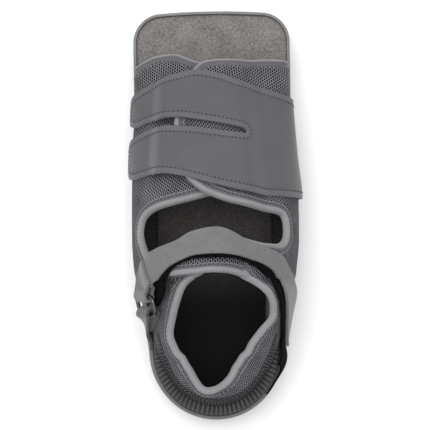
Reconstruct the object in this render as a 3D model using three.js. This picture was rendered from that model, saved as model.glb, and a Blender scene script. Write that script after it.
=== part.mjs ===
// Offloading shoe: a square-toed rocker sole with a footbed, a mesh upper in two overlapping halves with
// bound edges, a slit forefoot strap, and an ankle strap that doubles back through a ring.
// Millimetres. +Z is up, +Y points to the toe, and the origin is the middle of the flat tread face.
import * as THREE from "three";

// Sole
const SOLE_LENGTH = 290;
const TOE_Y = SOLE_LENGTH / 2;
const HEEL_RADIUS = 46;
const HEEL_CENTRE_Y = HEEL_RADIUS - TOE_Y;
const TOE_HALF_WIDTH = 55.8;
const TOE_CORNER_RADIUS = 20.5;
const TOE_FRONT_RADIUS = 500;
const FLOOR_Z = 20;
const RIM_Z = 29;
const TOE_LIP = 2.4;
const TOE_LIFT = { from: 60, height: 6 };
const TOE_ROCKER = { from: 50, height: 13 };
const HEEL_ROCKER = { from: -105, height: 5 };
const TREAD_INSET = 4;
const TREAD_CORNER = 5;
const RIM_ROUND = 0.8;
const WALL_TOUCH_RISE = 1;
const TOE_BLEND = { from: 4, to: 13 };

// Footbed
const INSOLE_GAP = 0.3;
const INSOLE_SIDE_GAP = 1.7;
const INSOLE_TOP_Z = 26.3;
const INSOLE_TOE_INSET = 3.4;
const INSOLE_TOP_ROUND = 0.8;

// Upper
const FRONT_Y = 112;
const TURN_RUN = FRONT_Y - HEEL_CENTRE_Y;
const END_RUN = TURN_RUN + (HEEL_RADIUS * Math.PI) / 2;
const MESH_THICKNESS = 3;
const MESH_LIFT = 2;
const OVERLAP_LIFT = 7.9;
const WALL_FOOT_Z = 23.6;
const WALL_CLEARANCE = 1.2;
const SEAM_GAP = 0.75;
const WALL_SEARCH = { low: -65, high: 5, halvings: 30 };
const HEEL_ROW_ANGLE = 14;
const COLLAR_ROOT_SHARE = 0.14;
const FLAP_RISE = { forefootFrom: 50, forefootTo: 74, ankleFrom: 64, ankleTo: 96 };
const MESH_OUTER = MESH_LIFT + MESH_THICKNESS / 2;
const MESH_INNER = MESH_LIFT - MESH_THICKNESS / 2;

// Binding tape folded over the edge of the mesh
const MITRE_SINE = 0.6;
const CORNER_TUCK = 0.35;
const TAPE = { width: 4.5, thickness: 1, slack: 0.7, roll: 1.3 };

// Straps
const STRAP_THICKNESS = 2;
const LINING_THICKNESS = 1.4;
const LAYER_GAP = 0.5;
const LINING_GAP = 0.8;
const STRAP_GAP = 1.4;
const RING_WIRE = 2.8;
const FOREFOOT_STRAP_LOW = MESH_OUTER + 2 * LAYER_GAP + STRAP_THICKNESS / 2;
const FOREFOOT_STRAP_HIGH = FOREFOOT_STRAP_LOW + OVERLAP_LIFT + TAPE.thickness + TAPE.slack;
const LINING_LOW = MESH_OUTER + TAPE.thickness + TAPE.slack + LINING_GAP + LINING_THICKNESS / 2;
const LINING_HIGH = LINING_LOW + OVERLAP_LIFT;
const STRAP_OVER_LINING = (LINING_THICKNESS + STRAP_THICKNESS) / 2 + STRAP_GAP;
const TAB_LIFT = MESH_OUTER + LAYER_GAP + STRAP_THICKNESS / 2;
const BAR_OVER_STRAP = (STRAP_THICKNESS + RING_WIRE) / 2 + LAYER_GAP;

// Half width of the sole at each station.
// The run is measured from FRONT_Y back along the side and round the heel.
const SOLE_SIDE = [
  { run: -12, halfWidth: TOE_HALF_WIDTH },
  { run: 60, halfWidth: TOE_HALF_WIDTH },
  { run: 112, halfWidth: 55.6 },
  { run: 150, halfWidth: 54 },
  { run: 172, halfWidth: 52.2 },
  { run: 195, halfWidth: 49.4 },
  { run: 211, halfWidth: 47.2 },
  { run: 245, halfWidth: 46.1 },
  { run: END_RUN, halfWidth: HEEL_RADIUS },
];

// The foot form under the upper: half width of each side at its waist, height of the waist, height of its
// crest, and how deep its lower curve would go. Past the tongues the crest follows from the collar's edge
// instead.
const FORM = [
  { run: -12, leftWidth: 50, rightWidth: 49.5, waist: 43, crest: 52, lowerDepth: 46 },
  { run: 0, leftWidth: 50.8, rightWidth: 50, waist: 43.5, crest: 54, lowerDepth: 46 },
  { run: 32, leftWidth: 51.4, rightWidth: 50.6, waist: 44, crest: 61, lowerDepth: 42 },
  { run: 72, leftWidth: 53.4, rightWidth: 53, waist: 44, crest: 72, lowerDepth: 34 },
  { run: 106, leftWidth: 54.2, rightWidth: 56, waist: 44, crest: 82, lowerDepth: 30 },
  { run: 131, leftWidth: 54.4, rightWidth: 55.8, waist: 44, crest: 92.5, lowerDepth: 30 },
  { run: 150, leftWidth: 53.4, rightWidth: 54, waist: 43.5, crest: 99.5, lowerDepth: 30 },
  { run: 157, leftWidth: 52.2, rightWidth: 53, waist: 43.2, crest: 101, lowerDepth: 30 },
  { run: 162, leftWidth: 49.6, rightWidth: 51.6, waist: 43, crest: 102, lowerDepth: 30 },
  { run: 167, leftWidth: 46.2, rightWidth: 50, waist: 42.8, crest: 102.5, lowerDepth: 30 },
  { run: 172, leftWidth: 44, rightWidth: 48.6, waist: 42.4, crest: 102.5, lowerDepth: 31 },
  { run: 181, leftWidth: 42, rightWidth: 46.4, waist: 41.6, crest: 102.5, lowerDepth: 32 },
  { run: 198, leftWidth: 40.6, rightWidth: 43, waist: 40.2, crest: 100, lowerDepth: 34 },
  { run: 211, leftWidth: 40.1, rightWidth: 41.2, waist: 39, crest: 97, lowerDepth: 36 },
  { run: 245, leftWidth: 40, rightWidth: 40, waist: 37, crest: 94, lowerDepth: 36 },
  { run: END_RUN, leftWidth: 40, rightWidth: 40, waist: 36.5, crest: 94, lowerDepth: 36 },
];
const COLLAR_TAKEOVER = { from: 162, to: 172, angleFrom: 70, angleTo: 84 };

// Edges of each half of the upper, as angles up the form: 0 at the waist, 90 on the crest, more past it.
// flapFront, flapBack, tongueFront and tongueBack give the run of an edge at an angle.
// instep gives the angle of the instep opening's lower edge at a run, and collar gives the ankle collar's
// edge there: its reach from the midline and its height.
const LEFT_HALF = {
  side: -1,
  width: "leftWidth",
  lift: 0,
  flapTip: [
    { share: 0, angle: 98 },
    { share: 1, angle: 101 },
  ],
  flapFront: [
    { angle: -40, run: 24 },
    { angle: 2, run: 11.3 },
    { angle: 25, run: 6.8 },
    { angle: 43, run: 3.4 },
    { angle: 59, run: 2.6 },
    { angle: 75, run: 7.7 },
    { angle: 101, run: 14 },
  ],
  flapBack: [
    { angle: 36, run: 115.8 },
    { angle: 45.6, run: 112.6 },
    { angle: 59, run: 110.2 },
    { angle: 70.4, run: 108.2 },
    { angle: 87, run: 104.5 },
    { angle: 101, run: 101.5 },
  ],
  instep: [
    { run: 115.8, angle: 36 },
    { run: 121, angle: 28.8 },
    { run: 129, angle: 26.2 },
    { run: 138, angle: 30 },
    { run: 147, angle: 36 },
  ],
  tongueTip: 82,
  tongueFront: [
    { angle: 36, run: 147 },
    { angle: 41, run: 150.4 },
    { angle: 49, run: 153.4 },
    { angle: 62, run: 155.5 },
    { angle: 82, run: 155 },
  ],
  tongueBack: [
    { angle: 60, run: 167.5 },
    { angle: 68.8, run: 165 },
    { angle: 74, run: 161.6 },
    { angle: 82, run: 160 },
  ],
  collar: [
    { run: 165, reach: 18.1, height: 101 },
    { run: 171, reach: 21.4, height: 100.5 },
    { run: 179, reach: 24.2, height: 97.5 },
    { run: 189, reach: 26.9, height: 93 },
    { run: 200, reach: 28.8, height: 89 },
    { run: 208, reach: 26.2, height: 87 },
    { run: 220, reach: 21.2, height: 85.5 },
    { run: 240, reach: 20.4, height: 84.8 },
    { run: 258, reach: 23.2, height: 84.6 },
    { run: 270, reach: 26, height: 84.6 },
    { run: END_RUN, reach: 23.6, height: 84.6 },
  ],
  colour: 0x5a5b61,
};
const RIGHT_HALF = {
  side: 1,
  width: "rightWidth",
  lift: OVERLAP_LIFT,
  flapTip: [
    { share: 0, angle: 105 },
    { share: 0.5, angle: 117 },
    { share: 1, angle: 111 },
  ],
  flapFront: [
    { angle: -40, run: 20 },
    { angle: 8, run: 6.8 },
    { angle: 44, run: 7.2 },
    { angle: 70, run: 9.5 },
    { angle: 82, run: 9.5 },
    { angle: 94, run: 10.5 },
    { angle: 105, run: 16 },
    { angle: 117, run: 21.5 },
  ],
  flapBack: [
    { angle: 36, run: 117.5 },
    { angle: 43.3, run: 116.2 },
    { angle: 55.7, run: 115.4 },
    { angle: 67.5, run: 115.6 },
    { angle: 78.3, run: 113.8 },
    { angle: 88.6, run: 109.8 },
    { angle: 95.5, run: 106 },
    { angle: 106, run: 96.3 },
    { angle: 117, run: 86.5 },
  ],
  instep: [
    { run: 117.5, angle: 36 },
    { run: 121.5, angle: 33.2 },
    { run: 127.5, angle: 32 },
    { run: 133.5, angle: 32.6 },
    { run: 138.2, angle: 36 },
  ],
  tongueTip: 122,
  tongueFront: [
    { angle: 36, run: 138.2 },
    { angle: 44, run: 140.2 },
    { angle: 54, run: 140.2 },
    { angle: 65.9, run: 138.4 },
    { angle: 82, run: 135.6 },
    { angle: 100, run: 137 },
    { angle: 122, run: 150 },
  ],
  tongueBack: [
    { angle: 34, run: 168 },
    { angle: 50, run: 167.5 },
    { angle: 60, run: 166 },
    { angle: 69.2, run: 162.4 },
    { angle: 75, run: 160.8 },
    { angle: 82, run: 160.2 },
    { angle: 92, run: 160.4 },
    { angle: 102, run: 161 },
    { angle: 122, run: 161 },
  ],
  collar: [
    { run: 162.4, reach: 18.2, height: 101 },
    { run: 168.7, reach: 27, height: 101 },
    { run: 175, reach: 34.2, height: 98 },
    { run: 181, reach: 36.6, height: 94 },
    { run: 187, reach: 36.6, height: 90.6 },
    { run: 196, reach: 29.8, height: 87.8 },
    { run: 207.5, reach: 21.5, height: 86 },
    { run: 223, reach: 16.2, height: 85 },
    { run: 246, reach: 15.6, height: 84.6 },
    { run: 260, reach: 18, height: 84.6 },
    { run: 273, reach: 21, height: 84.6 },
    { run: END_RUN, reach: 23.6, height: 84.6 },
  ],
  colour: 0x5a5b61,
};

// Forefoot strap: the runs of its edges and of the slit's edges, at angles right across the form from left
// to right.
const FOREFOOT_STRAP = [
  { across: -4, front: 31, slitFront: 54, slitBack: 61.5, back: 90.5 },
  { across: 20, front: 28, slitFront: 54, slitBack: 60.5, back: 91 },
  { across: 41, front: 23.5, slitFront: 51.5, slitBack: 57, back: 89.5 },
  { across: 55, front: 21.8, slitFront: 52.7, slitBack: 58.6, back: 92 },
  { across: 66, front: 20, slitFront: 53.1, slitBack: 59.8, back: 94.3 },
  { across: 78, front: 18.1, slitFront: 55.2, slitBack: 61.3, back: 98.3 },
  { across: 98, front: 22, slitFront: 59.2, slitBack: 64.6, back: 105 },
  { across: 110, front: 26.3, slitFront: 61.6, slitBack: 65.8, back: 107.6 },
  { across: 133, front: 28.8, slitFront: 65, slitBack: 68.5, back: 106 },
  { across: 160, front: 32.5, slitFront: 67, slitBack: 70.5, back: 104.8 },
  { across: 200, front: 36, slitFront: 68, slitBack: 71.5, back: 103 },
];
const STRAP_END = { left: -1, slit: 113, right: 197, cornerTurn: 9, cornerPower: 6 };
const STRAP_RISE = { leftFrom: 38, leftTo: 58, rightFrom: 107, rightTo: 131 };

// Ankle strap from its sewn end by the right of the heel, over the instep, to the ring on the left.
const ANKLE_STRAP = [
  { frontRun: 191, frontAcross: 188.5, backRun: 206, backAcross: 176 },
  { frontRun: 185, frontAcross: 187, backRun: 204, backAcross: 172 },
  { frontRun: 174, frontAcross: 178, backRun: 190, backAcross: 161 },
  { frontRun: 165, frontAcross: 162, backRun: 177.5, backAcross: 150 },
  { frontRun: 155, frontAcross: 144, backRun: 167.4, backAcross: 139.5 },
  { frontRun: 148, frontAcross: 136, backRun: 157.4, backAcross: 128.5 },
  { frontRun: 145, frontAcross: 126.5, backRun: 152.6, backAcross: 114.8 },
  { frontRun: 141.2, frontAcross: 110, backRun: 151.2, backAcross: 102.6 },
  { frontRun: 135.6, frontAcross: 91, backRun: 151.2, backAcross: 90.5 },
  { frontRun: 138, frontAcross: 77.5, backRun: 151.6, backAcross: 79.4 },
  { frontRun: 143, frontAcross: 68, backRun: 154, backAcross: 70.5 },
  { frontRun: 146, frontAcross: 56, backRun: 159, backAcross: 60 },
  { frontRun: 150.5, frontAcross: 44, backRun: 164, backAcross: 51 },
  { frontRun: 159.5, frontAcross: 32.5, backRun: 168.5, backAcross: 42.5 },
  { frontRun: 168.5, frontAcross: 21.5, backRun: 172.5, backAcross: 37 },
];
const STRAP_RETURN_ROWS = 2.1;
const LINING_RISE = { leftFrom: 36, leftTo: 53, rightFrom: 92, rightTo: 116, endFrom: 164, endTo: 180 };
const CLOSE_LEFT = { from: 34, to: 54, runFrom: 154, runTo: 168 };
const CLOSE_RIGHT = { from: 142, to: 160, runFrom: 148, runTo: 164 };
const CLOSE_SHARE = 0.8;
// How far the lining's loose tail stands off by the right of the heel.
const TAIL_FLARE = { from: 158, to: 186, runFrom: 199, runTo: 214, endFrom: 215, endTo: 234, height: 3 };
const LINING_FRONT = -0.08;
// The share of the strap's width at which the lining behind it ends, along the strap's rows.
const LINING_BACK = [
  { index: 0, share: 2 },
  { index: 1, share: 1.5 },
  { index: 2, share: 1.16 },
  { index: 3, share: 1.25 },
  { index: 4, share: 1.4 },
  { index: 5, share: 1.4 },
  { index: 6, share: 1.24 },
  { index: 7, share: 1.13 },
  { index: 9, share: 1.11 },
  { index: 10, share: 1.1 },
  { index: 11, share: 1.2 },
  { index: 12, share: 1.5 },
  { index: 13, share: 1.62 },
  { index: 14, share: 1.6 },
];
const LINING_TAIL = { frontRun: 226, frontAcross: 187, backRun: 243, backAcross: 184 };
const LINING_HEAD = { frontRun: 175.5, frontAcross: 16, backRun: 179.5, backAcross: 35 };
const RING = { row: 14, length: 12.5, standOff: 1, aimLift: 10, settleRows: 1, rowPitch: 8.5 };
const RING_TAB = [
  { frontRun: 185, frontAcross: 0, backRun: 192, backAcross: 16 },
  { frontRun: 190, frontAcross: -4, backRun: 198, backAcross: 10 },
  { frontRun: 195, frontAcross: -7, backRun: 203, backAcross: 4 },
  { frontRun: 200, frontAcross: -9, backRun: 208, backAcross: -2 },
];
const RING_MARGIN = 0.28;
const TAB_SLACK = 1.4;
const RING_CORNER = 3.4;
const TAB_INNER_ROWS = 0.6;
const TAB_LAYER_ROWS = { from: 1, to: 2 };
const TAB_ANCHOR_ROW = 2;

// Facets
const FLAP_COLUMNS = 12;
const INSTEP_COLUMNS = 6;
const TONGUE_COLUMNS = 4;
const COLLAR_COLUMNS = 16;
const WALL_ROWS = 4;
const FLAP_ROWS = 10;
const COLLAR_ROWS = 4;
const STRAP_COLUMNS = 28;
const TONGUE_STRAP_ROWS = 4;
const RIBBON_ROWS = 4;
const LINING_ROWS = 6;
const RIBBON_STEPS_PER_ROW = 2;
const SLIT_COLUMN_SHARE = 0.56;
const TURN_STEPS = 6;
const RETURN_STEPS = 5;
const TAB_DOWN_STEPS = 7;
const TAB_INNER_STEPS = 3;
const RING_SIDES = 8;
const RING_CORNER_STEPS = 4;
const TOE_FRONT_STEPS = 3;
const TOE_CORNER_STEPS = 8;
const SIDE_STEPS = 18;
const HEEL_STEPS = 11;

const lerp = THREE.MathUtils.lerp;
const smooth = (value, from, to) => THREE.MathUtils.smoothstep(value, from, to);
const radians = THREE.MathUtils.degToRad;

// A smooth curve through a table that never overshoots its rows, held level past both ends.
function through(rows, along, value) {
  const xs = rows.map((row) => row[along]);
  const ys = rows.map((row) => row[value]);
  const rises = xs.slice(1).map((x, k) => (ys[k + 1] - ys[k]) / (x - xs[k]));
  const slopes = xs.map((x, k) => {
    const before = rises[Math.max(0, k - 1)];
    const after = rises[Math.min(rises.length - 1, k)];
    return before * after > 0 ? (2 * before * after) / (before + after) : 0;
  });
  return (x) => {
    if (x <= xs[0]) return ys[0];
    if (x >= xs[xs.length - 1]) return ys[ys.length - 1];
    const k = xs.findIndex((next) => next > x) - 1;
    const step = xs[k + 1] - xs[k];
    const t = (x - xs[k]) / step;
    const rest = 1 - t;
    const ends = ys[k] * rest * rest * (1 + 2 * t) + ys[k + 1] * t * t * (1 + 2 * rest);
    return ends + step * t * rest * (slopes[k] * rest - slopes[k + 1] * t);
  };
}

const soleHalfWidth = through(SOLE_SIDE, "run", "halfWidth");
const formWidth = {
  leftWidth: through(FORM, "run", "leftWidth"),
  rightWidth: through(FORM, "run", "rightWidth"),
};
const formWaist = through(FORM, "run", "waist");
const ridge = through(FORM, "run", "crest");
const formLowerDepth = through(FORM, "run", "lowerDepth");
const collarReach = new Map();
const collarHeight = new Map();
for (const half of [LEFT_HALF, RIGHT_HALF]) {
  collarReach.set(half, through(half.collar, "run", "reach"));
  collarHeight.set(half, through(half.collar, "run", "height"));
}

// Angle up the form at which its surface stands at a half's collar edge.
function collarAngle(half, run) {
  return THREE.MathUtils.radToDeg(Math.acos(collarReach.get(half)(run) / formWidth[half.width](run)));
}

// Height of the form's crest: its own over the forefoot and under the tongues' tips, and past the tongues the
// one that puts the collar in place.
function formCrest(half, run, angle) {
  const rise = collarHeight.get(half)(run) - formWaist(run);
  const fromCollar = formWaist(run) + rise / Math.sin(radians(collarAngle(half, run)));
  const { from, to, angleFrom, angleTo } = COLLAR_TAKEOVER;
  return lerp(ridge(run), fromCollar, smooth(run, from, to) * (1 - smooth(angle, angleFrom, angleTo)));
}

// Rise of the footbed towards the toe.
function toeLift(y) {
  const share = Math.max(0, (y - TOE_LIFT.from) / (TOE_Y - TOE_LIFT.from));
  return TOE_LIFT.height * share * share;
}

// Height of the tread above the floor: flat in the middle and rolled up at both ends.
function treadZ(y) {
  const toe = Math.max(0, (y - TOE_ROCKER.from) / (TOE_Y - TOE_ROCKER.from));
  const heel = Math.max(0, (HEEL_ROCKER.from - y) / (HEEL_ROCKER.from + TOE_Y));
  return TOE_ROCKER.height * toe * toe + HEEL_ROCKER.height * heel * heel;
}

// Centre on the midline and outward direction of a station: square to the sides, then fanned round the heel.
function station(side, run) {
  const turn = Math.max(0, run - TURN_RUN) / HEEL_RADIUS;
  const centre = new THREE.Vector3(0, FRONT_Y - Math.min(run, TURN_RUN), 0);
  const outward = new THREE.Vector3(side * Math.cos(turn), -Math.sin(turn), 0);
  return { centre, outward };
}

// A point of the foot form: half an ellipse above the waist and a deeper one below it.
function formPoint(half, run, angle) {
  const { centre, outward } = station(half.side, run);
  const waist = formWaist(run) + toeLift(centre.y);
  const rise = angle >= 0 ? formCrest(half, run, angle) - formWaist(run) : formLowerDepth(run);
  const point = centre.addScaledVector(outward, formWidth[half.width](run) * Math.cos(radians(angle)));
  point.z = waist + rise * Math.sin(radians(angle));
  return point;
}

// The form's point moved outwards along its normal.
function overForm(half, run, angle, distance) {
  const step = 0.5;
  const along = formPoint(half, run + step, angle).sub(formPoint(half, run - step, angle));
  const up = formPoint(half, run, angle + step).sub(formPoint(half, run, angle - step));
  const normal = up.cross(along).multiplyScalar(half.side).normalize();
  return formPoint(half, run, angle).addScaledVector(normal, distance);
}

// The same, with one angle that goes right across the form from left to right.
function acrossForm(run, across, distance) {
  return across <= 90
    ? overForm(LEFT_HALF, run, across, distance)
    : overForm(RIGHT_HALF, run, 180 - across, distance);
}

// How far the form's lower wall on one side, moved outwards, stands from the midline at a height.
function wallReach(half, run, height, distance) {
  let { low, high } = WALL_SEARCH;
  for (let k = 0; k < WALL_SEARCH.halvings; k++) {
    const middle = (low + high) / 2;
    if (overForm(half, run, middle, distance).z < height) low = middle;
    else high = middle;
  }
  const { centre, outward } = station(half.side, run);
  return overForm(half, run, low, distance).sub(centre).dot(outward);
}

// Angle at which the wall starts, down beside the footbed.
function footAngle(run) {
  return -THREE.MathUtils.radToDeg(Math.asin((formWaist(run) - WALL_FOOT_Z) / formLowerDepth(run)));
}

function geometryOf(points, triangles) {
  const geometry = new THREE.BufferGeometry().setFromPoints(points);
  geometry.setIndex(triangles.flat());
  geometry.computeVertexNormals();
  return geometry;
}

// Rings of equal count joined into a tube. Open tubes are closed by a fan on each end ring.
function tube(rings, closed) {
  const count = rings[0].length;
  const points = rings.flat();
  const triangles = [];
  const spans = closed ? rings.length : rings.length - 1;
  for (let i = 0; i < spans; i++) {
    const here = i * count;
    const next = ((i + 1) % rings.length) * count;
    for (let k = 0; k < count; k++) {
      const after = (k + 1) % count;
      triangles.push([here + k, next + k, next + after], [here + k, next + after, here + after]);
    }
  }
  if (!closed) {
    const last = (rings.length - 1) * count;
    for (const [a, b, c] of THREE.ShapeUtils.triangulateShape(flatRing(rings[0]), [])) {
      triangles.push([a, b, c], [last + a, last + c, last + b]);
    }
  }
  return geometryOf(points, triangles);
}

// An end ring in its own plane, so that its cap can be cut into triangles.
function flatRing(ring) {
  const origin = ring[0];
  const xAxis = ring[1].clone().sub(origin).normalize();
  const normal = new THREE.Vector3();
  ring.forEach((point, k) => {
    const next = ring[(k + 1) % ring.length];
    normal.add(point.clone().sub(origin).cross(next.clone().sub(origin)));
  });
  const yAxis = normal.normalize().cross(xAxis);
  return ring.map((point) => {
    const arm = point.clone().sub(origin);
    return new THREE.Vector2(arm.dot(xAxis), arm.dot(yAxis));
  });
}

// A sheet with its middle surface on a grid. Cells that aren't kept are left open, and each edge gets a wall.
class Sheet {
  constructor(columns, rows, pointAt, isKept) {
    this.columns = columns;
    this.rows = rows;
    this.isKept = (i, j) => i >= 0 && j >= 0 && i < columns && j < rows && isKept(i, j);
    this.points = new Map();
    this.normals = new Map();
    for (const [i, j] of this.cells()) {
      const corners = this.corners(i, j);
      for (const [ci, cj] of corners) {
        const key = this.key(ci, cj);
        if (!this.points.has(key)) this.points.set(key, pointAt(ci, cj));
      }
      const [a, b, c, d] = corners.map(([ci, cj]) => this.point(ci, cj));
      const normal = c.clone().sub(a).cross(d.clone().sub(b));
      for (const [ci, cj] of corners) {
        const key = this.key(ci, cj);
        const sum = this.normals.get(key) ?? new THREE.Vector3();
        this.normals.set(key, sum.add(normal));
      }
    }
    this.normals.forEach((normal) => normal.normalize());
  }

  key(i, j) {
    return i * (this.rows + 1) + j;
  }

  point(i, j) {
    return this.points.get(this.key(i, j));
  }

  normal(i, j) {
    return this.normals.get(this.key(i, j));
  }

  corners(i, j) {
    return [[i, j], [i + 1, j], [i + 1, j + 1], [i, j + 1]];
  }

  *cells() {
    for (let i = 0; i < this.columns; i++) {
      for (let j = 0; j < this.rows; j++) {
        if (this.isKept(i, j)) yield [i, j];
      }
    }
  }

  // The closed solid: both faces, and a wall along each side of a cell that has no neighbour.
  geometry(thickness) {
    const places = new Map();
    const points = [];
    for (const [key, point] of this.points) {
      places.set(key, points.length);
      const normal = this.normals.get(key);
      points.push(point.clone().addScaledVector(normal, thickness / 2));
      points.push(point.clone().addScaledVector(normal, -thickness / 2));
    }
    const triangles = [];
    const quad = (a, b, c, d) => triangles.push([a, b, c], [a, c, d]);
    for (const [i, j] of this.cells()) {
      const [a, b, c, d] = this.corners(i, j).map(([ci, cj]) => places.get(this.key(ci, cj)));
      quad(a, b, c, d);
      quad(d + 1, c + 1, b + 1, a + 1);
      const sides = [[a, b, i, j - 1], [b, c, i + 1, j], [c, d, i, j + 1], [d, a, i - 1, j]];
      for (const [from, to, ni, nj] of sides) {
        if (!this.isKept(ni, nj)) quad(from, from + 1, to + 1, to);
      }
    }
    return geometryOf(points, triangles);
  }
}

// Sole outline
// Points of the right half from the middle of the toe round to the middle of the heel.
function soleOutline() {
  const points = [];
  const cornerX = TOE_HALF_WIDTH - TOE_CORNER_RADIUS;
  const frontCentreY = TOE_Y - TOE_FRONT_RADIUS;
  const cornerRise = Math.sqrt((TOE_FRONT_RADIUS - TOE_CORNER_RADIUS) ** 2 - cornerX ** 2);
  const cornerY = frontCentreY + cornerRise;
  const cornerAngle = Math.atan2(cornerRise, cornerX);
  const addArc = (x, y, radius, from, to, steps) => {
    for (let k = 0; k <= steps; k++) {
      const angle = lerp(from, to, k / steps);
      const outward = new THREE.Vector3(Math.cos(angle), Math.sin(angle), 0);
      const point = new THREE.Vector3(x, y, 0).addScaledVector(outward, radius);
      points.push({ point, outward, run: FRONT_Y - point.y });
    }
  };
  addArc(0, frontCentreY, TOE_FRONT_RADIUS, Math.PI / 2, cornerAngle, TOE_FRONT_STEPS);
  points.pop();
  addArc(cornerX, cornerY, TOE_CORNER_RADIUS, cornerAngle, 0, TOE_CORNER_STEPS);
  const sideStart = FRONT_Y - cornerY;
  for (let k = 1; k <= SIDE_STEPS + HEEL_STEPS; k++) {
    const run =
      k <= SIDE_STEPS
        ? lerp(sideStart, TURN_RUN, k / SIDE_STEPS)
        : lerp(TURN_RUN, END_RUN, (k - SIDE_STEPS) / HEEL_STEPS);
    const { centre, outward } = station(1, run);
    points.push({ point: centre.addScaledVector(outward, soleHalfWidth(run)), outward, run });
  }
  return points;
}

// A closed ring at a level: the outline moved inwards by a distance, with the left side mirrored from the
// right.
function soleRing(outline, insetAt, heightAt) {
  const right = outline.map((place) => {
    const point = place.point.clone().addScaledVector(place.outward, -insetAt(place));
    point.z = heightAt(point.y);
    return point;
  });
  right[0].x = 0;
  right[right.length - 1].x = 0;
  const left = right.slice(1, -1).map((point) => new THREE.Vector3(-point.x, point.y, point.z));
  return [...right, ...left.reverse()];
}

// Rings joined from the tread up, with both ends closed by rungs between the left and right points.
function ringSolid(rings) {
  const count = rings[0].length;
  const triangles = [];
  for (let level = 0; level + 1 < rings.length; level++) {
    const low = level * count;
    const high = low + count;
    for (let k = 0; k < count; k++) {
      const after = (k + 1) % count;
      triangles.push([low + k, high + k, high + after], [low + k, high + after, low + after]);
    }
  }
  const top = (rings.length - 1) * count;
  const half = count / 2;
  for (let k = 0; k < half; k++) {
    const [a, b, c, d] = [k, k + 1, (count - k - 1) % count, (count - k) % count];
    const rungs = [[a, b, c], [a, c, d]].filter((corners) => new Set(corners).size === 3);
    for (const [p, q, r] of rungs) {
      triangles.push([p, q, r], [top + p, top + r, top + q]);
    }
  }
  return geometryOf(rings.flat(), triangles);
}

// How far inside the sole's outline a surface of the walls lies, blended to a plain inset round the open toe.
// The sole is the same on both sides, so pick takes the wider wall for its pocket and the narrower for the
// footbed.
function wallInset(place, height, distance, toeInset, pick) {
  if (place.run < TOE_BLEND.from) return toeInset;
  const level = height + toeLift(place.point.y);
  const reach = pick(
    wallReach(LEFT_HALF, place.run, level, distance),
    wallReach(RIGHT_HALF, place.run, level, distance),
  );
  return lerp(toeInset, soleHalfWidth(place.run) - reach, smooth(place.run, TOE_BLEND.from, TOE_BLEND.to));
}

function soleGeometry(outline) {
  const rimAt = (y) => RIM_Z + toeLift(y);
  const floorAt = (y) => FLOOR_Z + toeLift(y);
  const floorTouch = FLOOR_Z + WALL_TOUCH_RISE;
  const floorLip = TOE_LIP + RIM_ROUND;
  const pocket = MESH_OUTER + WALL_CLEARANCE;
  return ringSolid([
    soleRing(outline, () => TREAD_INSET, treadZ),
    soleRing(outline, () => RIM_ROUND, (y) => treadZ(y) + TREAD_CORNER),
    soleRing(outline, () => 0, (y) => (treadZ(y) + rimAt(y)) / 2),
    soleRing(outline, () => 0, (y) => rimAt(y) - 2 * RIM_ROUND),
    soleRing(outline, () => RIM_ROUND, rimAt),
    soleRing(outline, (place) => wallInset(place, RIM_Z, pocket, TOE_LIP, Math.max), rimAt),
    soleRing(outline, (place) => wallInset(place, floorTouch, pocket, floorLip, Math.max), floorAt),
  ]);
}

function insoleGeometry(outline) {
  const inner = MESH_INNER - INSOLE_SIDE_GAP;
  const bottomZ = FLOOR_Z + INSOLE_GAP;
  const insetAt = (height, extra) => (place) =>
    wallInset(place, height, inner, INSOLE_TOE_INSET, Math.min) + extra;
  const levelAt = (z) => (y) => z + toeLift(y);
  const shoulderZ = INSOLE_TOP_Z - INSOLE_TOP_ROUND;
  return ringSolid([
    soleRing(outline, insetAt(bottomZ + WALL_TOUCH_RISE, 0), levelAt(bottomZ)),
    soleRing(outline, insetAt(shoulderZ, 0), levelAt(shoulderZ)),
    soleRing(outline, insetAt(shoulderZ, INSOLE_TOP_ROUND), levelAt(INSOLE_TOP_Z)),
  ]);
}

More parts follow.
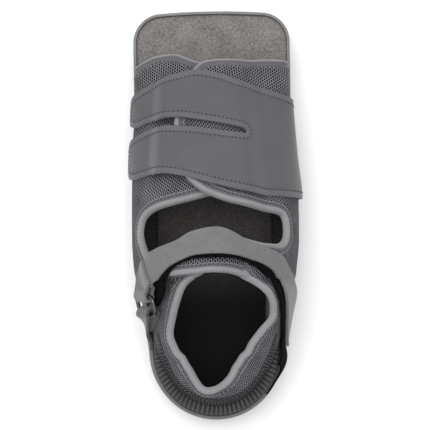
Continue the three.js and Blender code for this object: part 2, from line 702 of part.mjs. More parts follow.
// Half of the upper
// Columns run from the toe edge to the seam at the heel: flap, instep opening, ankle tongue, collar.
// Rows run up from the sole: the wall, then the flap or tongue, whose lower rows carry on as the collar.
function upperSheet(half) {
  const flapFront = through(half.flapFront, "angle", "run");
  const flapBack = through(half.flapBack, "angle", "run");
  const flapTip = through(half.flapTip, "share", "angle");
  const instep = through(half.instep, "run", "angle");
  const tongueFront = through(half.tongueFront, "angle", "run");
  const tongueBack = through(half.tongueBack, "angle", "run");
  const instepStart = half.instep[0];
  const instepEnd = half.instep[half.instep.length - 1];
  const tongueRoot = half.tongueBack[0];
  const rowsUp = WALL_ROWS + FLAP_ROWS;
  const instepColumn = FLAP_COLUMNS;
  const tongueColumn = instepColumn + INSTEP_COLUMNS;
  const collarColumn = tongueColumn + TONGUE_COLUMNS;
  const columns = collarColumn + COLLAR_COLUMNS;

  // Run and angle of a grid point in each of the four stretches.
  const flapPlace = (share, j) => {
    const wallShare = Math.min(1, j / WALL_ROWS);
    const upShare = Math.max(0, (j - WALL_ROWS) / FLAP_ROWS);
    const wallAngle = lerp(footAngle(instepStart.run * share), instepStart.angle, wallShare);
    const angle = lerp(wallAngle, flapTip(share), upShare);
    const back = j > WALL_ROWS ? flapBack(angle) : instepStart.run;
    return { run: lerp(flapFront(angle), back, share), angle };
  };
  const instepPlace = (share, j) => {
    const run = lerp(instepStart.run, instepEnd.run, share);
    return { run, angle: lerp(footAngle(run), instep(run), j / WALL_ROWS) };
  };
  const tonguePlace = (share, j) => {
    const rowAngle = lerp(instepEnd.angle, tongueRoot.angle, share);
    if (j <= WALL_ROWS) {
      const run = lerp(instepEnd.run, tongueRoot.run, share);
      return { run, angle: lerp(footAngle(run), rowAngle, j / WALL_ROWS) };
    }
    const angle = lerp(rowAngle, half.tongueTip, (j - WALL_ROWS) / FLAP_ROWS);
    return { run: lerp(tongueFront(angle), tongueBack(angle), share), angle };
  };
  const collarPlace = (share, j) => {
    const start = tonguePlace(1, j);
    const run = lerp(start.run, END_RUN - SEAM_GAP, share);
    const rowAngle = lerp(tongueRoot.angle, HEEL_ROW_ANGLE, smooth(share, 0, COLLAR_ROOT_SHARE));
    if (j <= WALL_ROWS) return { run, angle: lerp(footAngle(run), rowAngle, j / WALL_ROWS) };
    return { run, angle: lerp(rowAngle, collarAngle(half, run), (j - WALL_ROWS) / COLLAR_ROWS) };
  };
  const placeAt = (i, j) => {
    if (i <= instepColumn) return flapPlace(i / FLAP_COLUMNS, j);
    if (i < tongueColumn) return instepPlace((i - instepColumn) / INSTEP_COLUMNS, j);
    if (i <= collarColumn) return tonguePlace((i - tongueColumn) / TONGUE_COLUMNS, j);
    return collarPlace((i - collarColumn) / COLLAR_COLUMNS, j);
  };

  // The overlapping half rises over the other one near the crest, later at the ankle than at the forefoot.
  const liftAt = ({ run, angle }) => {
    const ankle = smooth(run, instepStart.run, instepEnd.run);
    const from = lerp(FLAP_RISE.forefootFrom, FLAP_RISE.ankleFrom, ankle);
    const to = lerp(FLAP_RISE.forefootTo, FLAP_RISE.ankleTo, ankle);
    return MESH_LIFT + half.lift * smooth(angle, from, to);
  };
  const pointAt = (i, j) => {
    const place = placeAt(i, j);
    return overForm(half, place.run, place.angle, liftAt(place));
  };
  const isKept = (i, j) => {
    if (j < WALL_ROWS) return true;
    if (i < instepColumn) return true;
    if (i < tongueColumn) return false;
    return i < collarColumn || j < WALL_ROWS + COLLAR_ROWS;
  };
  const sheet = new Sheet(columns, rowsUp, pointAt, isKept);

  // The bound edge, from above the sole at the toe edge round to the heel seam: each leg runs to a corner,
  // and its inward step leads to the grid point inside the sheet. The tape is tucked narrower in an inside
  // corner.
  const legs = [
    { to: [0, rowsUp], inward: [1, 0] },
    { to: [instepColumn, rowsUp], inward: [0, -1] },
    { to: [instepColumn, WALL_ROWS], inward: [-1, 0], tucked: true },
    { to: [tongueColumn, WALL_ROWS], inward: [0, -1], tucked: true },
    { to: [tongueColumn, rowsUp], inward: [1, 0] },
    { to: [collarColumn, rowsUp], inward: [0, -1] },
    { to: [collarColumn, WALL_ROWS + COLLAR_ROWS], inward: [-1, 0], tucked: true },
    { to: [columns, WALL_ROWS + COLLAR_ROWS], inward: [0, -1] },
  ];
  let [i, j] = [0, 1];
  const edge = [{ i, j, inward: legs[0].inward, tucked: false }];
  legs.forEach(({ to, inward, tucked }, leg) => {
    while (i !== to[0] || j !== to[1]) {
      i += Math.sign(to[0] - i);
      j += Math.sign(to[1] - j);
      const isCorner = i === to[0] && j === to[1] && leg + 1 < legs.length;
      const next = isCorner ? legs[leg + 1].inward : [0, 0];
      const step = [inward[0] + next[0], inward[1] + next[1]];
      edge.push({ i, j, inward: step, tucked: isCorner && tucked === true });
    }
  });
  return { sheet, edge };
}

// Tape folded over a sheet's edge: a channel that holds the edge with a little slack, rolled round outside.
function bindingGeometry({ sheet, edge }) {
  const inside = MESH_THICKNESS / 2 + TAPE.slack;
  const outside = inside + TAPE.thickness;
  const profile = [
    { depth: TAPE.width, height: inside },
    { depth: TAPE.width, height: outside },
    { depth: 0, height: outside },
    { depth: -TAPE.roll, height: outside / 2 },
    { depth: -TAPE.roll, height: -outside / 2 },
    { depth: 0, height: -outside },
    { depth: TAPE.width, height: -outside },
    { depth: TAPE.width, height: -inside },
    { depth: -TAPE.slack, height: -inside },
    { depth: -TAPE.slack, height: inside },
  ];
  const pointOf = (place) => sheet.point(place.i, place.j);
  const rings = edge.map((place, k) => {
    const { i, j, tucked } = place;
    const [di, dj] = place.inward;
    const point = pointOf(place);
    const normal = sheet.normal(i, j);
    const innerNormal = sheet.normal(i + di, j + dj);
    const inward = sheet.point(i + di, j + dj).clone().sub(point);
    const reach = inward.length();
    inward.normalize();
    const before = pointOf(edge[Math.max(0, k - 1)]);
    const after = pointOf(edge[Math.min(edge.length - 1, k + 1)]);
    const sines = [point.clone().sub(before), after.clone().sub(point)]
      .filter((leg) => leg.length() > 0)
      .map((leg) => leg.normalize().cross(inward).length());
    const stretch = tucked ? CORNER_TUCK : 1 / Math.max(MITRE_SINE, Math.min(...sines));
    return profile.map(({ depth, height }) => {
      const facing = normal.clone().lerp(innerNormal, Math.max(0, depth * stretch) / reach);
      return point.clone().addScaledVector(inward, depth * stretch).addScaledVector(facing, height);
    });
  });
  return tube(rings, false);
}

// Forefoot strap: a sheet across the form with a slit that opens to its left end.
function forefootStrapGeometry() {
  const edges = Object.fromEntries(
    ["front", "slitFront", "slitBack", "back"].map((name) => [name, through(FOREFOOT_STRAP, "across", name)]),
  );
  const rows = 2 * TONGUE_STRAP_ROWS + 1;
  const slitRow = TONGUE_STRAP_ROWS;
  const slitColumns = Math.round(STRAP_COLUMNS * SLIT_COLUMN_SHARE);
  const liftAt = (across) => {
    const left = smooth(across, STRAP_RISE.leftFrom, STRAP_RISE.leftTo);
    const right = smooth(across, STRAP_RISE.rightFrom, STRAP_RISE.rightTo);
    return lerp(FOREFOOT_STRAP_LOW, FOREFOOT_STRAP_HIGH, left * (1 - right));
  };
  const pointAt = (i, j) => {
    const inBack = j > slitRow;
    const share = inBack ? (j - slitRow - 1) / TONGUE_STRAP_ROWS : j / TONGUE_STRAP_ROWS;
    const fromMiddle = Math.abs(2 * share - 1);
    const cornerShare = 1 - Math.sqrt(1 - fromMiddle ** STRAP_END.cornerPower);
    const start = STRAP_END.left + STRAP_END.cornerTurn * cornerShare;
    const across =
      i <= slitColumns
        ? lerp(start, STRAP_END.slit, i / slitColumns)
        : lerp(STRAP_END.slit, STRAP_END.right, (i - slitColumns) / (STRAP_COLUMNS - slitColumns));
    const [from, to] = inBack ? [edges.slitBack, edges.back] : [edges.front, edges.slitFront];
    return acrossForm(lerp(from(across), to(across), share), across, liftAt(across));
  };
  const isKept = (i, j) => j !== slitRow || i >= slitColumns;
  return new Sheet(STRAP_COLUMNS, rows, pointAt, isKept).geometry(STRAP_THICKNESS);
}

// A ribbon's table as curves over its row number, read at a share of its width from front to back.
function ribbon(table) {
  const rows = table.map((row, index) => ({ index, ...row }));
  const curves = Object.fromEntries(
    ["frontRun", "frontAcross", "backRun", "backAcross"].map((name) => [name, through(rows, "index", name)]),
  );
  return (row, share) => ({
    run: lerp(curves.frontRun(row), curves.backRun(row), share),
    across: lerp(curves.frontAcross(row), curves.backAcross(row), share),
  });
}

// Height of the lining over the form: it rises over the overlapped tongues, lies close to the mesh below the
// tapes on both sides of the heel, and stands off a little at its tail.
function liningLift({ run, across }) {
  const left = smooth(across, LINING_RISE.leftFrom, LINING_RISE.leftTo);
  const fall = smooth(across, LINING_RISE.rightFrom, LINING_RISE.rightTo);
  const rise = left * (1 - fall) * (1 - smooth(run, LINING_RISE.endFrom, LINING_RISE.endTo));
  const closeLeft =
    (1 - smooth(across, CLOSE_LEFT.from, CLOSE_LEFT.to)) * smooth(run, CLOSE_LEFT.runFrom, CLOSE_LEFT.runTo);
  const closeRight =
    smooth(across, CLOSE_RIGHT.from, CLOSE_RIGHT.to) * smooth(run, CLOSE_RIGHT.runFrom, CLOSE_RIGHT.runTo);
  const tape = CLOSE_SHARE * (TAPE.thickness + TAPE.slack);
  const flare =
    smooth(across, TAIL_FLARE.from, TAIL_FLARE.to) *
    smooth(run, TAIL_FLARE.runFrom, TAIL_FLARE.runTo) *
    (1 - smooth(run, TAIL_FLARE.endFrom, TAIL_FLARE.endTo));
  return lerp(LINING_LOW, LINING_HIGH, rise) - (closeLeft + closeRight) * tape + TAIL_FLARE.height * flare;
}

const liningBack = through(LINING_BACK, "index", "share");

// Lining: one row longer than the strap at both ends, where its margins fade out.
function liningGeometry() {
  const place = ribbon([LINING_TAIL, ...ANKLE_STRAP, LINING_HEAD]);
  const steps = (ANKLE_STRAP.length + 1) * RIBBON_STEPS_PER_ROW;
  const pointAt = (i, j) => {
    const row = i / RIBBON_STEPS_PER_ROW;
    const strapRow = row - 1;
    const share = lerp(LINING_FRONT, liningBack(strapRow), j / LINING_ROWS);
    const past = Math.max(0, -strapRow, strapRow - RING.row);
    const spot = place(row, lerp(share, j / LINING_ROWS, past));
    return acrossForm(spot.run, spot.across, liningLift(spot));
  };
  return new Sheet(steps, LINING_ROWS, pointAt, () => true).geometry(LINING_THICKNESS);
}

const strapPlace = ribbon(ANKLE_STRAP);
const tabPlace = ribbon(RING_TAB);

// The ankle strap's middle surface where it lies over the lining.
function strapOverForm(row, share) {
  const spot = strapPlace(row, share);
  return acrossForm(spot.run, spot.across, liningLift(spot) + STRAP_OVER_LINING);
}

// The ring's bars and directions: along a bar, on from the strap towards the heel, and out from the foot.
// The front bar lies in the strap's turn, and the back bar in the tab's.
function ringFrame() {
  const ends = [0, 1].map((share) => {
    const spot = strapPlace(RING.row, share);
    const lift = liningLift(spot) + STRAP_OVER_LINING + BAR_OVER_STRAP + RING.standOff;
    return acrossForm(spot.run, spot.across, lift);
  });
  const along = ends[1].clone().sub(ends[0]).normalize();
  const anchor = tabPlace(TAB_ANCHOR_ROW, 0.5);
  const aim = TAB_LIFT + RING.aimLift;
  const heading = acrossForm(anchor.run, anchor.across, aim).sub(ends[0].clone().lerp(ends[1], 0.5));
  heading.addScaledVector(along, -heading.dot(along)).normalize();
  const outward = heading.clone().cross(along).normalize();
  const frontBar = (share) => ends[0].clone().lerp(ends[1], share);
  const backBar = (share) => frontBar(share).addScaledVector(heading, RING.length);
  return { frontBar, backBar, heading, outward };
}

// Ankle strap: out to the ring's front bar, round it, and back over itself.
function ankleStrapGeometry() {
  const { frontBar, heading, outward } = ringFrame();
  const radius = BAR_OVER_STRAP;
  const outSteps = RING.row * RIBBON_STEPS_PER_ROW;
  // The strap flattens and leaves the form over its last rows, so that it meets the bar squarely.
  const outPoint = (row, share) => {
    const away = (RING.row - row) * RING.rowPitch;
    const square = frontBar(share).addScaledVector(outward, -radius).addScaledVector(heading, -away);
    return strapOverForm(row, share).lerp(square, smooth(row, RING.row - RING.settleRows, RING.row));
  };
  const pointAt = (i, j) => {
    const share = j / RIBBON_ROWS;
    if (i <= outSteps) return outPoint(i / RIBBON_STEPS_PER_ROW, share);
    const turn = (Math.PI * (i - outSteps)) / TURN_STEPS;
    if (turn <= Math.PI) {
      return frontBar(share)
        .addScaledVector(outward, -radius * Math.cos(turn))
        .addScaledVector(heading, radius * Math.sin(turn));
    }
    const back = (i - outSteps - TURN_STEPS) / RETURN_STEPS;
    const extra = lerp(2 * radius, STRAP_THICKNESS + LAYER_GAP, smooth(back, 0, 1));
    return outPoint(RING.row - STRAP_RETURN_ROWS * back, share).addScaledVector(outward, extra);
  };
  const columns = outSteps + TURN_STEPS + RETURN_STEPS;
  return new Sheet(columns, RIBBON_ROWS, pointAt, () => true).geometry(STRAP_THICKNESS);
}

// Ring: round wire bent to a rectangle with rounded corners, in the plane of its bars.
function ringGeometry() {
  const { frontBar, backBar, heading, outward } = ringFrame();
  const along = heading.clone().cross(outward).negate();
  const reach = RING_MARGIN * frontBar(0).distanceTo(frontBar(1));
  const centre = frontBar(0.5).lerp(backBar(0.5), 0.5);
  const halfLong = frontBar(0).distanceTo(frontBar(1)) / 2 + reach - RING_CORNER;
  const halfShort = RING.length / 2 - RING_CORNER;
  const rings = [];
  for (let corner = 0; corner < 4; corner++) {
    const alongSign = corner === 0 || corner === 3 ? 1 : -1;
    const headingSign = corner < 2 ? 1 : -1;
    for (let k = 0; k <= RING_CORNER_STEPS; k++) {
      const turn = (Math.PI / 2) * (corner + k / RING_CORNER_STEPS);
      const out = along.clone().multiplyScalar(Math.cos(turn)).addScaledVector(heading, Math.sin(turn));
      const middle = centre
        .clone()
        .addScaledVector(along, alongSign * halfLong)
        .addScaledVector(heading, headingSign * halfShort)
        .addScaledVector(out, RING_CORNER);
      rings.push(
        Array.from({ length: RING_SIDES }, (_, n) => {
          const angle = (-2 * Math.PI * n) / RING_SIDES;
          return middle
            .clone()
            .addScaledVector(out, (RING_WIRE / 2) * Math.cos(angle))
            .addScaledVector(outward, (RING_WIRE / 2) * Math.sin(angle));
        }),
      );
    }
  }
  return tube(rings, true);
}

// Ring tab: sewn down by the left of the heel, up to the ring's back bar, round it, and down behind itself.
function ringTabGeometry() {
  const { backBar, heading, outward } = ringFrame();
  const radius = BAR_OVER_STRAP + TAB_SLACK;
  const lastRow = RING_TAB.length - 1;
  const pointAt = (i, j) => {
    const share = j / RIBBON_ROWS;
    const turn = (Math.PI * (i - TAB_DOWN_STEPS)) / TURN_STEPS;
    if (turn >= 0 && turn <= Math.PI) {
      return backBar(share)
        .addScaledVector(outward, radius * Math.cos(turn))
        .addScaledVector(heading, -radius * Math.sin(turn));
    }
    const isOuter = turn < 0;
    const innerShare = (i - TAB_DOWN_STEPS - TURN_STEPS) / TAB_INNER_STEPS;
    const row = isOuter ? lastRow * (1 - i / TAB_DOWN_STEPS) : TAB_INNER_ROWS * innerShare;
    const spot = tabPlace(row, share);
    const doubled = isOuter ? 1 - smooth(row, TAB_LAYER_ROWS.from, TAB_LAYER_ROWS.to) : 0;
    const layer = doubled * (STRAP_THICKNESS + LAYER_GAP);
    const settled = acrossForm(spot.run, spot.across, TAB_LIFT + layer);
    const start = backBar(share).addScaledVector(outward, isOuter ? radius : -radius);
    return start.lerp(settled, smooth(row, 0, isOuter ? 1 : TAB_INNER_ROWS));
  };
  const columns = TAB_DOWN_STEPS + TURN_STEPS + TAB_INNER_STEPS;
  return new Sheet(columns, RIBBON_ROWS, pointAt, () => true).geometry(STRAP_THICKNESS);
}

function piece(name, geometry, colour, roughness, metalness = 0) {
  const material = new THREE.MeshStandardMaterial({ color: colour, roughness, metalness });
  const mesh = new THREE.Mesh(geometry, material);
  mesh.name = name;
  return mesh;
}

const outline = soleOutline();
const leftUpper = upperSheet(LEFT_HALF);
const rightUpper = upperSheet(RIGHT_HALF);
const shoe = new THREE.Group();
shoe.add(
  piece("sole", soleGeometry(outline), 0xa3a3a3, 0.7),
  piece("insole", insoleGeometry(outline), 0x7f7a79, 0.95),
  piece("left_upper", leftUpper.sheet.geometry(MESH_THICKNESS), LEFT_HALF.colour, 0.9),
  piece("right_upper", rightUpper.sheet.geometry(MESH_THICKNESS), RIGHT_HALF.colour, 0.9),
  piece("left_binding", bindingGeometry(leftUpper), 0x8b8a8e, 0.8),
  piece("right_binding", bindingGeometry(rightUpper), 0x8b8a8e, 0.8),
  piece("forefoot_strap", forefootStrapGeometry(), 0x68686d, 0.75),
  piece("strap_lining", liningGeometry(), 0x111113, 0.95),
  piece("ankle_strap", ankleStrapGeometry(), 0x838285, 0.9),
  piece("ring", ringGeometry(), 0x55555a, 0.35, 0.9),
  piece("ring_tab", ringTabGeometry(), 0x77767a, 0.9),
);

export default shoe;
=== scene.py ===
"""Offloading shoe: square-toed foam sole, mesh upper in two bound halves, and straps at forefoot and ankle.

Sizes are in millimetres and turned to metres as each mesh is made. +Y points to the toe and +Z is up.
"""
import logging
import math
from collections.abc import Callable
from dataclasses import dataclass, field
from enum import Enum

import bmesh
import bpy
import numpy as np
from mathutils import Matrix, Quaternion, Vector


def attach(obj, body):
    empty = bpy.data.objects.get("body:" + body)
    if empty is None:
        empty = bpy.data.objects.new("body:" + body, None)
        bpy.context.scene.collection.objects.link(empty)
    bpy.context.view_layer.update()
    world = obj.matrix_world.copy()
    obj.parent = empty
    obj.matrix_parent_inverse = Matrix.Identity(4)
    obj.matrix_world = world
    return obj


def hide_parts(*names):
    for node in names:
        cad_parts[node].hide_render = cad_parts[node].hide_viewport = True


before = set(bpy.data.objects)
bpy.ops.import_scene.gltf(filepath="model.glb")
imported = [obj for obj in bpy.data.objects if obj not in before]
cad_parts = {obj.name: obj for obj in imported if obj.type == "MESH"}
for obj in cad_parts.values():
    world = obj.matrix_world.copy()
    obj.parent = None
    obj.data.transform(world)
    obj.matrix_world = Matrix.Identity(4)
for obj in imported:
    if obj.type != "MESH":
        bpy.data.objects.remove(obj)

LOG = logging.getLogger("offloading_shoe")
Array = np.ndarray
Pair = tuple[float, float]
MM = 0.001
CLOTH_UV = "cloth"
WELD_DISTANCE = 0.00002
TINY = 1e-6
NEAREST_PARTS = 12
LEAST_FACE = 1e-4
EDGE_SEGMENTS = 3
EDGE_ANGLE = 50.0
FOAM_SHARP_ANGLE = 38.0
TAPE_SHARP_ANGLE = 60.0
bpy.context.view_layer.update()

# Sole and footbed
SOLE_LENGTH = 290.0
TOE_Y = SOLE_LENGTH / 2
HEEL_RADIUS = 46.0
HEEL_CENTRE_Y = HEEL_RADIUS - TOE_Y
FLOOR_Z = 20.0
RIM_Z = 29.0
TOE_LIFT_FROM, TOE_LIFT_HEIGHT = 60.0, 6.0
TOE_ROCKER_FROM, TOE_ROCKER_HEIGHT = 50.0, 13.0
HEEL_ROCKER_FROM, HEEL_ROCKER_HEIGHT = -105.0, 5.0

# Upper
FRONT_Y = 112.0
TURN_RUN = FRONT_Y - HEEL_CENTRE_Y
END_RUN = TURN_RUN + HEEL_RADIUS * math.pi / 2
MESH_THICKNESS = 3.0
MESH_LIFT = 2.0
MESH_OUTER = MESH_LIFT + MESH_THICKNESS / 2
MESH_INNER = MESH_LIFT - MESH_THICKNESS / 2
OVERLAP_LIFT = 7.9
WALL_FOOT_Z = 23.6
TAPE_STACK = 1.7

# Straps
STRAP_THICKNESS = 2.0
LINING_THICKNESS = 1.4
LAYER_GAP = 0.5
LINING_CLEARANCE = 0.8
STRAP_TO_LINING = 0.45
RING_WIRE = 2.8
FOREFOOT_LOW = MESH_OUTER + 2 * LAYER_GAP + STRAP_THICKNESS / 2
FOREFOOT_HIGH = FOREFOOT_LOW + OVERLAP_LIFT + TAPE_STACK
LINING_LOW = MESH_OUTER + TAPE_STACK + LINING_CLEARANCE + LINING_THICKNESS / 2
LINING_HIGH = LINING_LOW + OVERLAP_LIFT
STRAP_OVER_LINING = (LINING_THICKNESS + STRAP_THICKNESS) / 2 + STRAP_TO_LINING
TAB_LIFT = MESH_OUTER + LAYER_GAP + STRAP_THICKNESS / 2
BAR_OVER_STRAP = (STRAP_THICKNESS + RING_WIRE) / 2 + LAYER_GAP


def smooth(value: Array, start: float, end: float) -> Array:
    """An even S-shaped step from 0 at start to 1 at end."""
    share = np.clip((np.asarray(value, float) - start) / (end - start), 0.0, 1.0)
    return share * share * (3.0 - 2.0 * share)


def lerp(start: Array, end: Array, share: Array) -> Array:
    """The value at a share of the way from start to end."""
    return start + (end - start) * share


def unit(vectors: Array) -> Array:
    """Vectors scaled to a length of one."""
    return vectors / np.maximum(np.linalg.norm(vectors, axis=-1, keepdims=True), 1e-12)


class Curve:
    """A smooth curve through a table that never overshoots its rows, held level past both ends."""

    def __init__(self, *rows: Pair) -> None:
        """Takes the rows as pairs, and each slope as the harmonic mean of the rises on both sides."""
        self.along, self.values = np.array(rows, float).T
        rise = np.diff(self.values) / np.diff(self.along)
        before = np.concatenate([rise[:1], rise])
        after = np.concatenate([rise, rise[-1:]])
        same_way = before * after > 0
        total = np.where(same_way, before + after, 1.0)
        self.slopes = np.where(same_way, 2.0 * before * after / total, 0.0)

    def __call__(self, at: Array) -> Array:
        """The cubic between the two rows beside each place."""
        place = np.clip(np.asarray(at, float), self.along[0], self.along[-1])
        low = np.clip(np.searchsorted(self.along, place, side="right") - 1, 0, len(self.along) - 2)
        step = self.along[low + 1] - self.along[low]
        share = (place - self.along[low]) / step
        rest = 1.0 - share
        ends = self.values[low] * rest**2 * (1 + 2 * share) + self.values[low + 1] * share**2 * (1 + 2 * rest)
        return ends + step * share * rest * (self.slopes[low] * rest - self.slopes[low + 1] * share)


def curves(*rows: tuple[float, ...]) -> list[Curve]:
    """One curve for each column after the first, which is what they run along."""
    return [Curve(*[(row[0], row[column]) for row in rows]) for column in range(1, len(rows[0]))]


class Side(Enum):
    """Which side of the shoe a half of the upper is on."""

    LEFT = -1
    RIGHT = 1


@dataclass(frozen=True)
class Half:
    """One half of the upper: the edges of its flap, instep opening, tongue and collar on the foot form."""

    side: Side
    lift: float
    width: Curve
    flap_tip: Curve
    flap_front: Curve
    flap_back: Curve
    instep: Curve
    instep_start: Pair
    instep_end: Pair
    tongue_tip: float
    tongue_front: Curve
    tongue_back: Curve
    tongue_root: Pair
    collar_reach: Curve
    collar_height: Curve


# Columns: run from the front of the upper, half width on the left and right, height of waist and of crest,
# and how deep the wall's lower curve would go.
LEFT_WIDTH, RIGHT_WIDTH, WAIST, RIDGE, LOWER_DEPTH = curves(
    (-12, 50, 49.5, 43, 52, 46),
    (0, 50.8, 50, 43.5, 54, 46),
    (32, 51.4, 50.6, 44, 61, 42),
    (72, 53.4, 53, 44, 72, 34),
    (106, 54.2, 56, 44, 82, 30),
    (131, 54.4, 55.8, 44, 92.5, 30),
    (150, 53.4, 54, 43.5, 99.5, 30),
    (157, 52.2, 53, 43.2, 101, 30),
    (162, 49.6, 51.6, 43, 102, 30),
    (167, 46.2, 50, 42.8, 102.5, 30),
    (172, 44, 48.6, 42.4, 102.5, 31),
    (181, 42, 46.4, 41.6, 102.5, 32),
    (198, 40.6, 43, 40.2, 100, 34),
    (211, 40.1, 41.2, 39, 97, 36),
    (245, 40, 40, 37, 94, 36),
    (END_RUN, 40, 40, 36.5, 94, 36),
)
SOLE_HALF_WIDTH = Curve(
    (-12, 55.8), (60, 55.8), (112, 55.6), (150, 54), (172, 52.2), (195, 49.4), (211, 47.2), (245, 46.1),
    (END_RUN, HEEL_RADIUS),
)

# Columns of a collar: run, reach from the midline, height.
LEFT_COLLAR = curves(
    (165, 18.1, 101), (171, 21.4, 100.5), (179, 24.2, 97.5), (189, 26.9, 93), (200, 28.8, 89),
    (208, 26.2, 87), (220, 21.2, 85.5), (240, 20.4, 84.8), (258, 23.2, 84.6), (270, 26, 84.6),
    (END_RUN, 23.6, 84.6),
)
RIGHT_COLLAR = curves(
    (162.4, 18.2, 101), (168.7, 27, 101), (175, 34.2, 98), (181, 36.6, 94), (187, 36.6, 90.6),
    (196, 29.8, 87.8), (207.5, 21.5, 86), (223, 16.2, 85), (246, 15.6, 84.6), (260, 18, 84.6),
    (273, 21, 84.6), (END_RUN, 23.6, 84.6),
)

# Angle up the form of the two seams round the heel, along the run.
HEEL_SEAM_HIGH = Curve((190, 20), (197, 24.5), (208, 31), (224, 39), (END_RUN, 40))
HEEL_SEAM_LOW = Curve((190, 2), (200, 8), (216, 26), (236, 33), (END_RUN, 32))

# Each flap or tongue edge pairs an angle up the form with a run, and each instep edge a run with an angle.
LEFT_HALF = Half(
    side=Side.LEFT,
    lift=0.0,
    width=LEFT_WIDTH,
    flap_tip=Curve((0, 98), (1, 101)),
    flap_front=Curve((-40, 24), (2, 11.3), (25, 6.8), (43, 3.4), (59, 2.6), (75, 7.7), (101, 14)),
    flap_back=Curve((36, 115.8), (45.6, 112.6), (59, 110.2), (70.4, 108.2), (87, 104.5), (101, 101.5)),
    instep=Curve((115.8, 36), (121, 28.8), (129, 26.2), (138, 30), (147, 36)),
    instep_start=(115.8, 36),
    instep_end=(147, 36),
    tongue_tip=82.0,
    tongue_front=Curve((36, 147), (41, 150.4), (49, 153.4), (62, 155.5), (82, 155)),
    tongue_back=Curve((60, 167.5), (68.8, 165), (74, 161.6), (82, 160)),
    tongue_root=(167.5, 60),
    collar_reach=LEFT_COLLAR[0],
    collar_height=LEFT_COLLAR[1],
)
RIGHT_HALF = Half(
    side=Side.RIGHT,
    lift=OVERLAP_LIFT,
    width=RIGHT_WIDTH,
    flap_tip=Curve((0, 105), (0.5, 117), (1, 111)),
    flap_front=Curve(
        (-40, 20), (8, 6.8), (44, 7.2), (70, 9.5), (82, 9.5), (94, 10.5), (105, 16), (117, 21.5)
    ),
    flap_back=Curve(
        (36, 117.5), (43.3, 116.2), (55.7, 115.4), (67.5, 115.6), (78.3, 113.8), (88.6, 109.8), (95.5, 106),
        (106, 96.3), (117, 86.5),
    ),
    instep=Curve((117.5, 36), (121.5, 33.2), (127.5, 32), (133.5, 32.6), (138.2, 36)),
    instep_start=(117.5, 36),
    instep_end=(138.2, 36),
    tongue_tip=122.0,
    tongue_front=Curve(
        (36, 138.2), (44, 140.2), (54, 140.2), (65.9, 138.4), (82, 135.6), (100, 137), (122, 150)
    ),
    tongue_back=Curve(
        (34, 168), (50, 167.5), (60, 166), (69.2, 162.4), (75, 160.8), (82, 160.2), (92, 160.4), (102, 161),
        (122, 161),
    ),
    tongue_root=(168, 34),
    collar_reach=RIGHT_COLLAR[0],
    collar_height=RIGHT_COLLAR[1],
)

# Columns: angle across the form from left to right, then the runs of the strap's and the slit's edges.
FOREFOOT_EDGES = curves(
    (-4, 31, 54, 61.5, 90.5),
    (20, 28, 54, 60.5, 91),
    (41, 23.5, 51.5, 57, 89.5),
    (55, 21.8, 52.7, 58.6, 92),
    (66, 20, 53.1, 59.8, 94.3),
    (78, 18.1, 55.2, 61.3, 98.3),
    (98, 22, 59.2, 64.6, 105),
    (110, 26.3, 61.6, 65.8, 107.6),
    (133, 28.8, 65, 68.5, 106),
    (160, 32.5, 67, 70.5, 104.8),
    (200, 36, 68, 71.5, 103),
)

# Columns: row number, then the run and the angle across of the front edge and of the back edge.
ANKLE_ROWS = (
    (0, 191, 188.5, 206, 176),
    (1, 185, 187, 204, 172),
    (2, 174, 178, 190, 161),
    (3, 165, 162, 177.5, 150),
    (4, 155, 144, 167.4, 139.5),
    (5, 148, 136, 157.4, 128.5),
    (6, 145, 126.5, 152.6, 114.8),
    (7, 141.2, 110, 151.2, 102.6),
    (8, 135.6, 91, 151.2, 90.5),
    (9, 138, 77.5, 151.6, 79.4),
    (10, 143, 68, 154, 70.5),
    (11, 146, 56, 159, 60),
    (12, 150.5, 44, 164, 51),
    (13, 159.5, 32.5, 168.5, 42.5),
    (14, 168.5, 21.5, 172.5, 37),
)
TAIL_FLARE = 3.0
LINING_TAIL_ROW = (-1, 226, 187, 243, 184)
LINING_HEAD_ROW = (15, 175.5, 16, 179.5, 35)
# Columns: row number, and the share of the strap's width at which the lining behind it ends.
LINING_BACK = (
    (0, 2), (1, 1.5), (2, 1.16), (3, 1.25), (4, 1.4), (5, 1.4), (6, 1.24), (7, 1.13), (9, 1.11), (10, 1.1),
    (11, 1.2), (12, 1.5), (13, 1.62), (14, 1.6),
)
# Columns as for the ankle strap, from the ring's back bar down to the sewn end.
RING_TAB_ROWS = (
    (0, 185, 0, 192, 16),
    (1, 190, -4, 198, 10),
    (2, 195, -7, 203, 4),
    (3, 200, -9, 208, -2),
)


def toe_lift(y: Array) -> Array:
    """Rise of the footbed towards the toe: the square of the share of the way there."""
    return TOE_LIFT_HEIGHT * np.maximum(0.0, (y - TOE_LIFT_FROM) / (TOE_Y - TOE_LIFT_FROM)) ** 2


def tread_height(y: Array) -> Array:
    """Height of the tread over the floor: flat in the middle, and rising by a square towards both ends."""
    toe = np.maximum(0.0, (y - TOE_ROCKER_FROM) / (TOE_Y - TOE_ROCKER_FROM))
    heel = np.maximum(0.0, (HEEL_ROCKER_FROM - y) / (HEEL_ROCKER_FROM + TOE_Y))
    return TOE_ROCKER_HEIGHT * toe**2 + HEEL_ROCKER_HEIGHT * heel**2


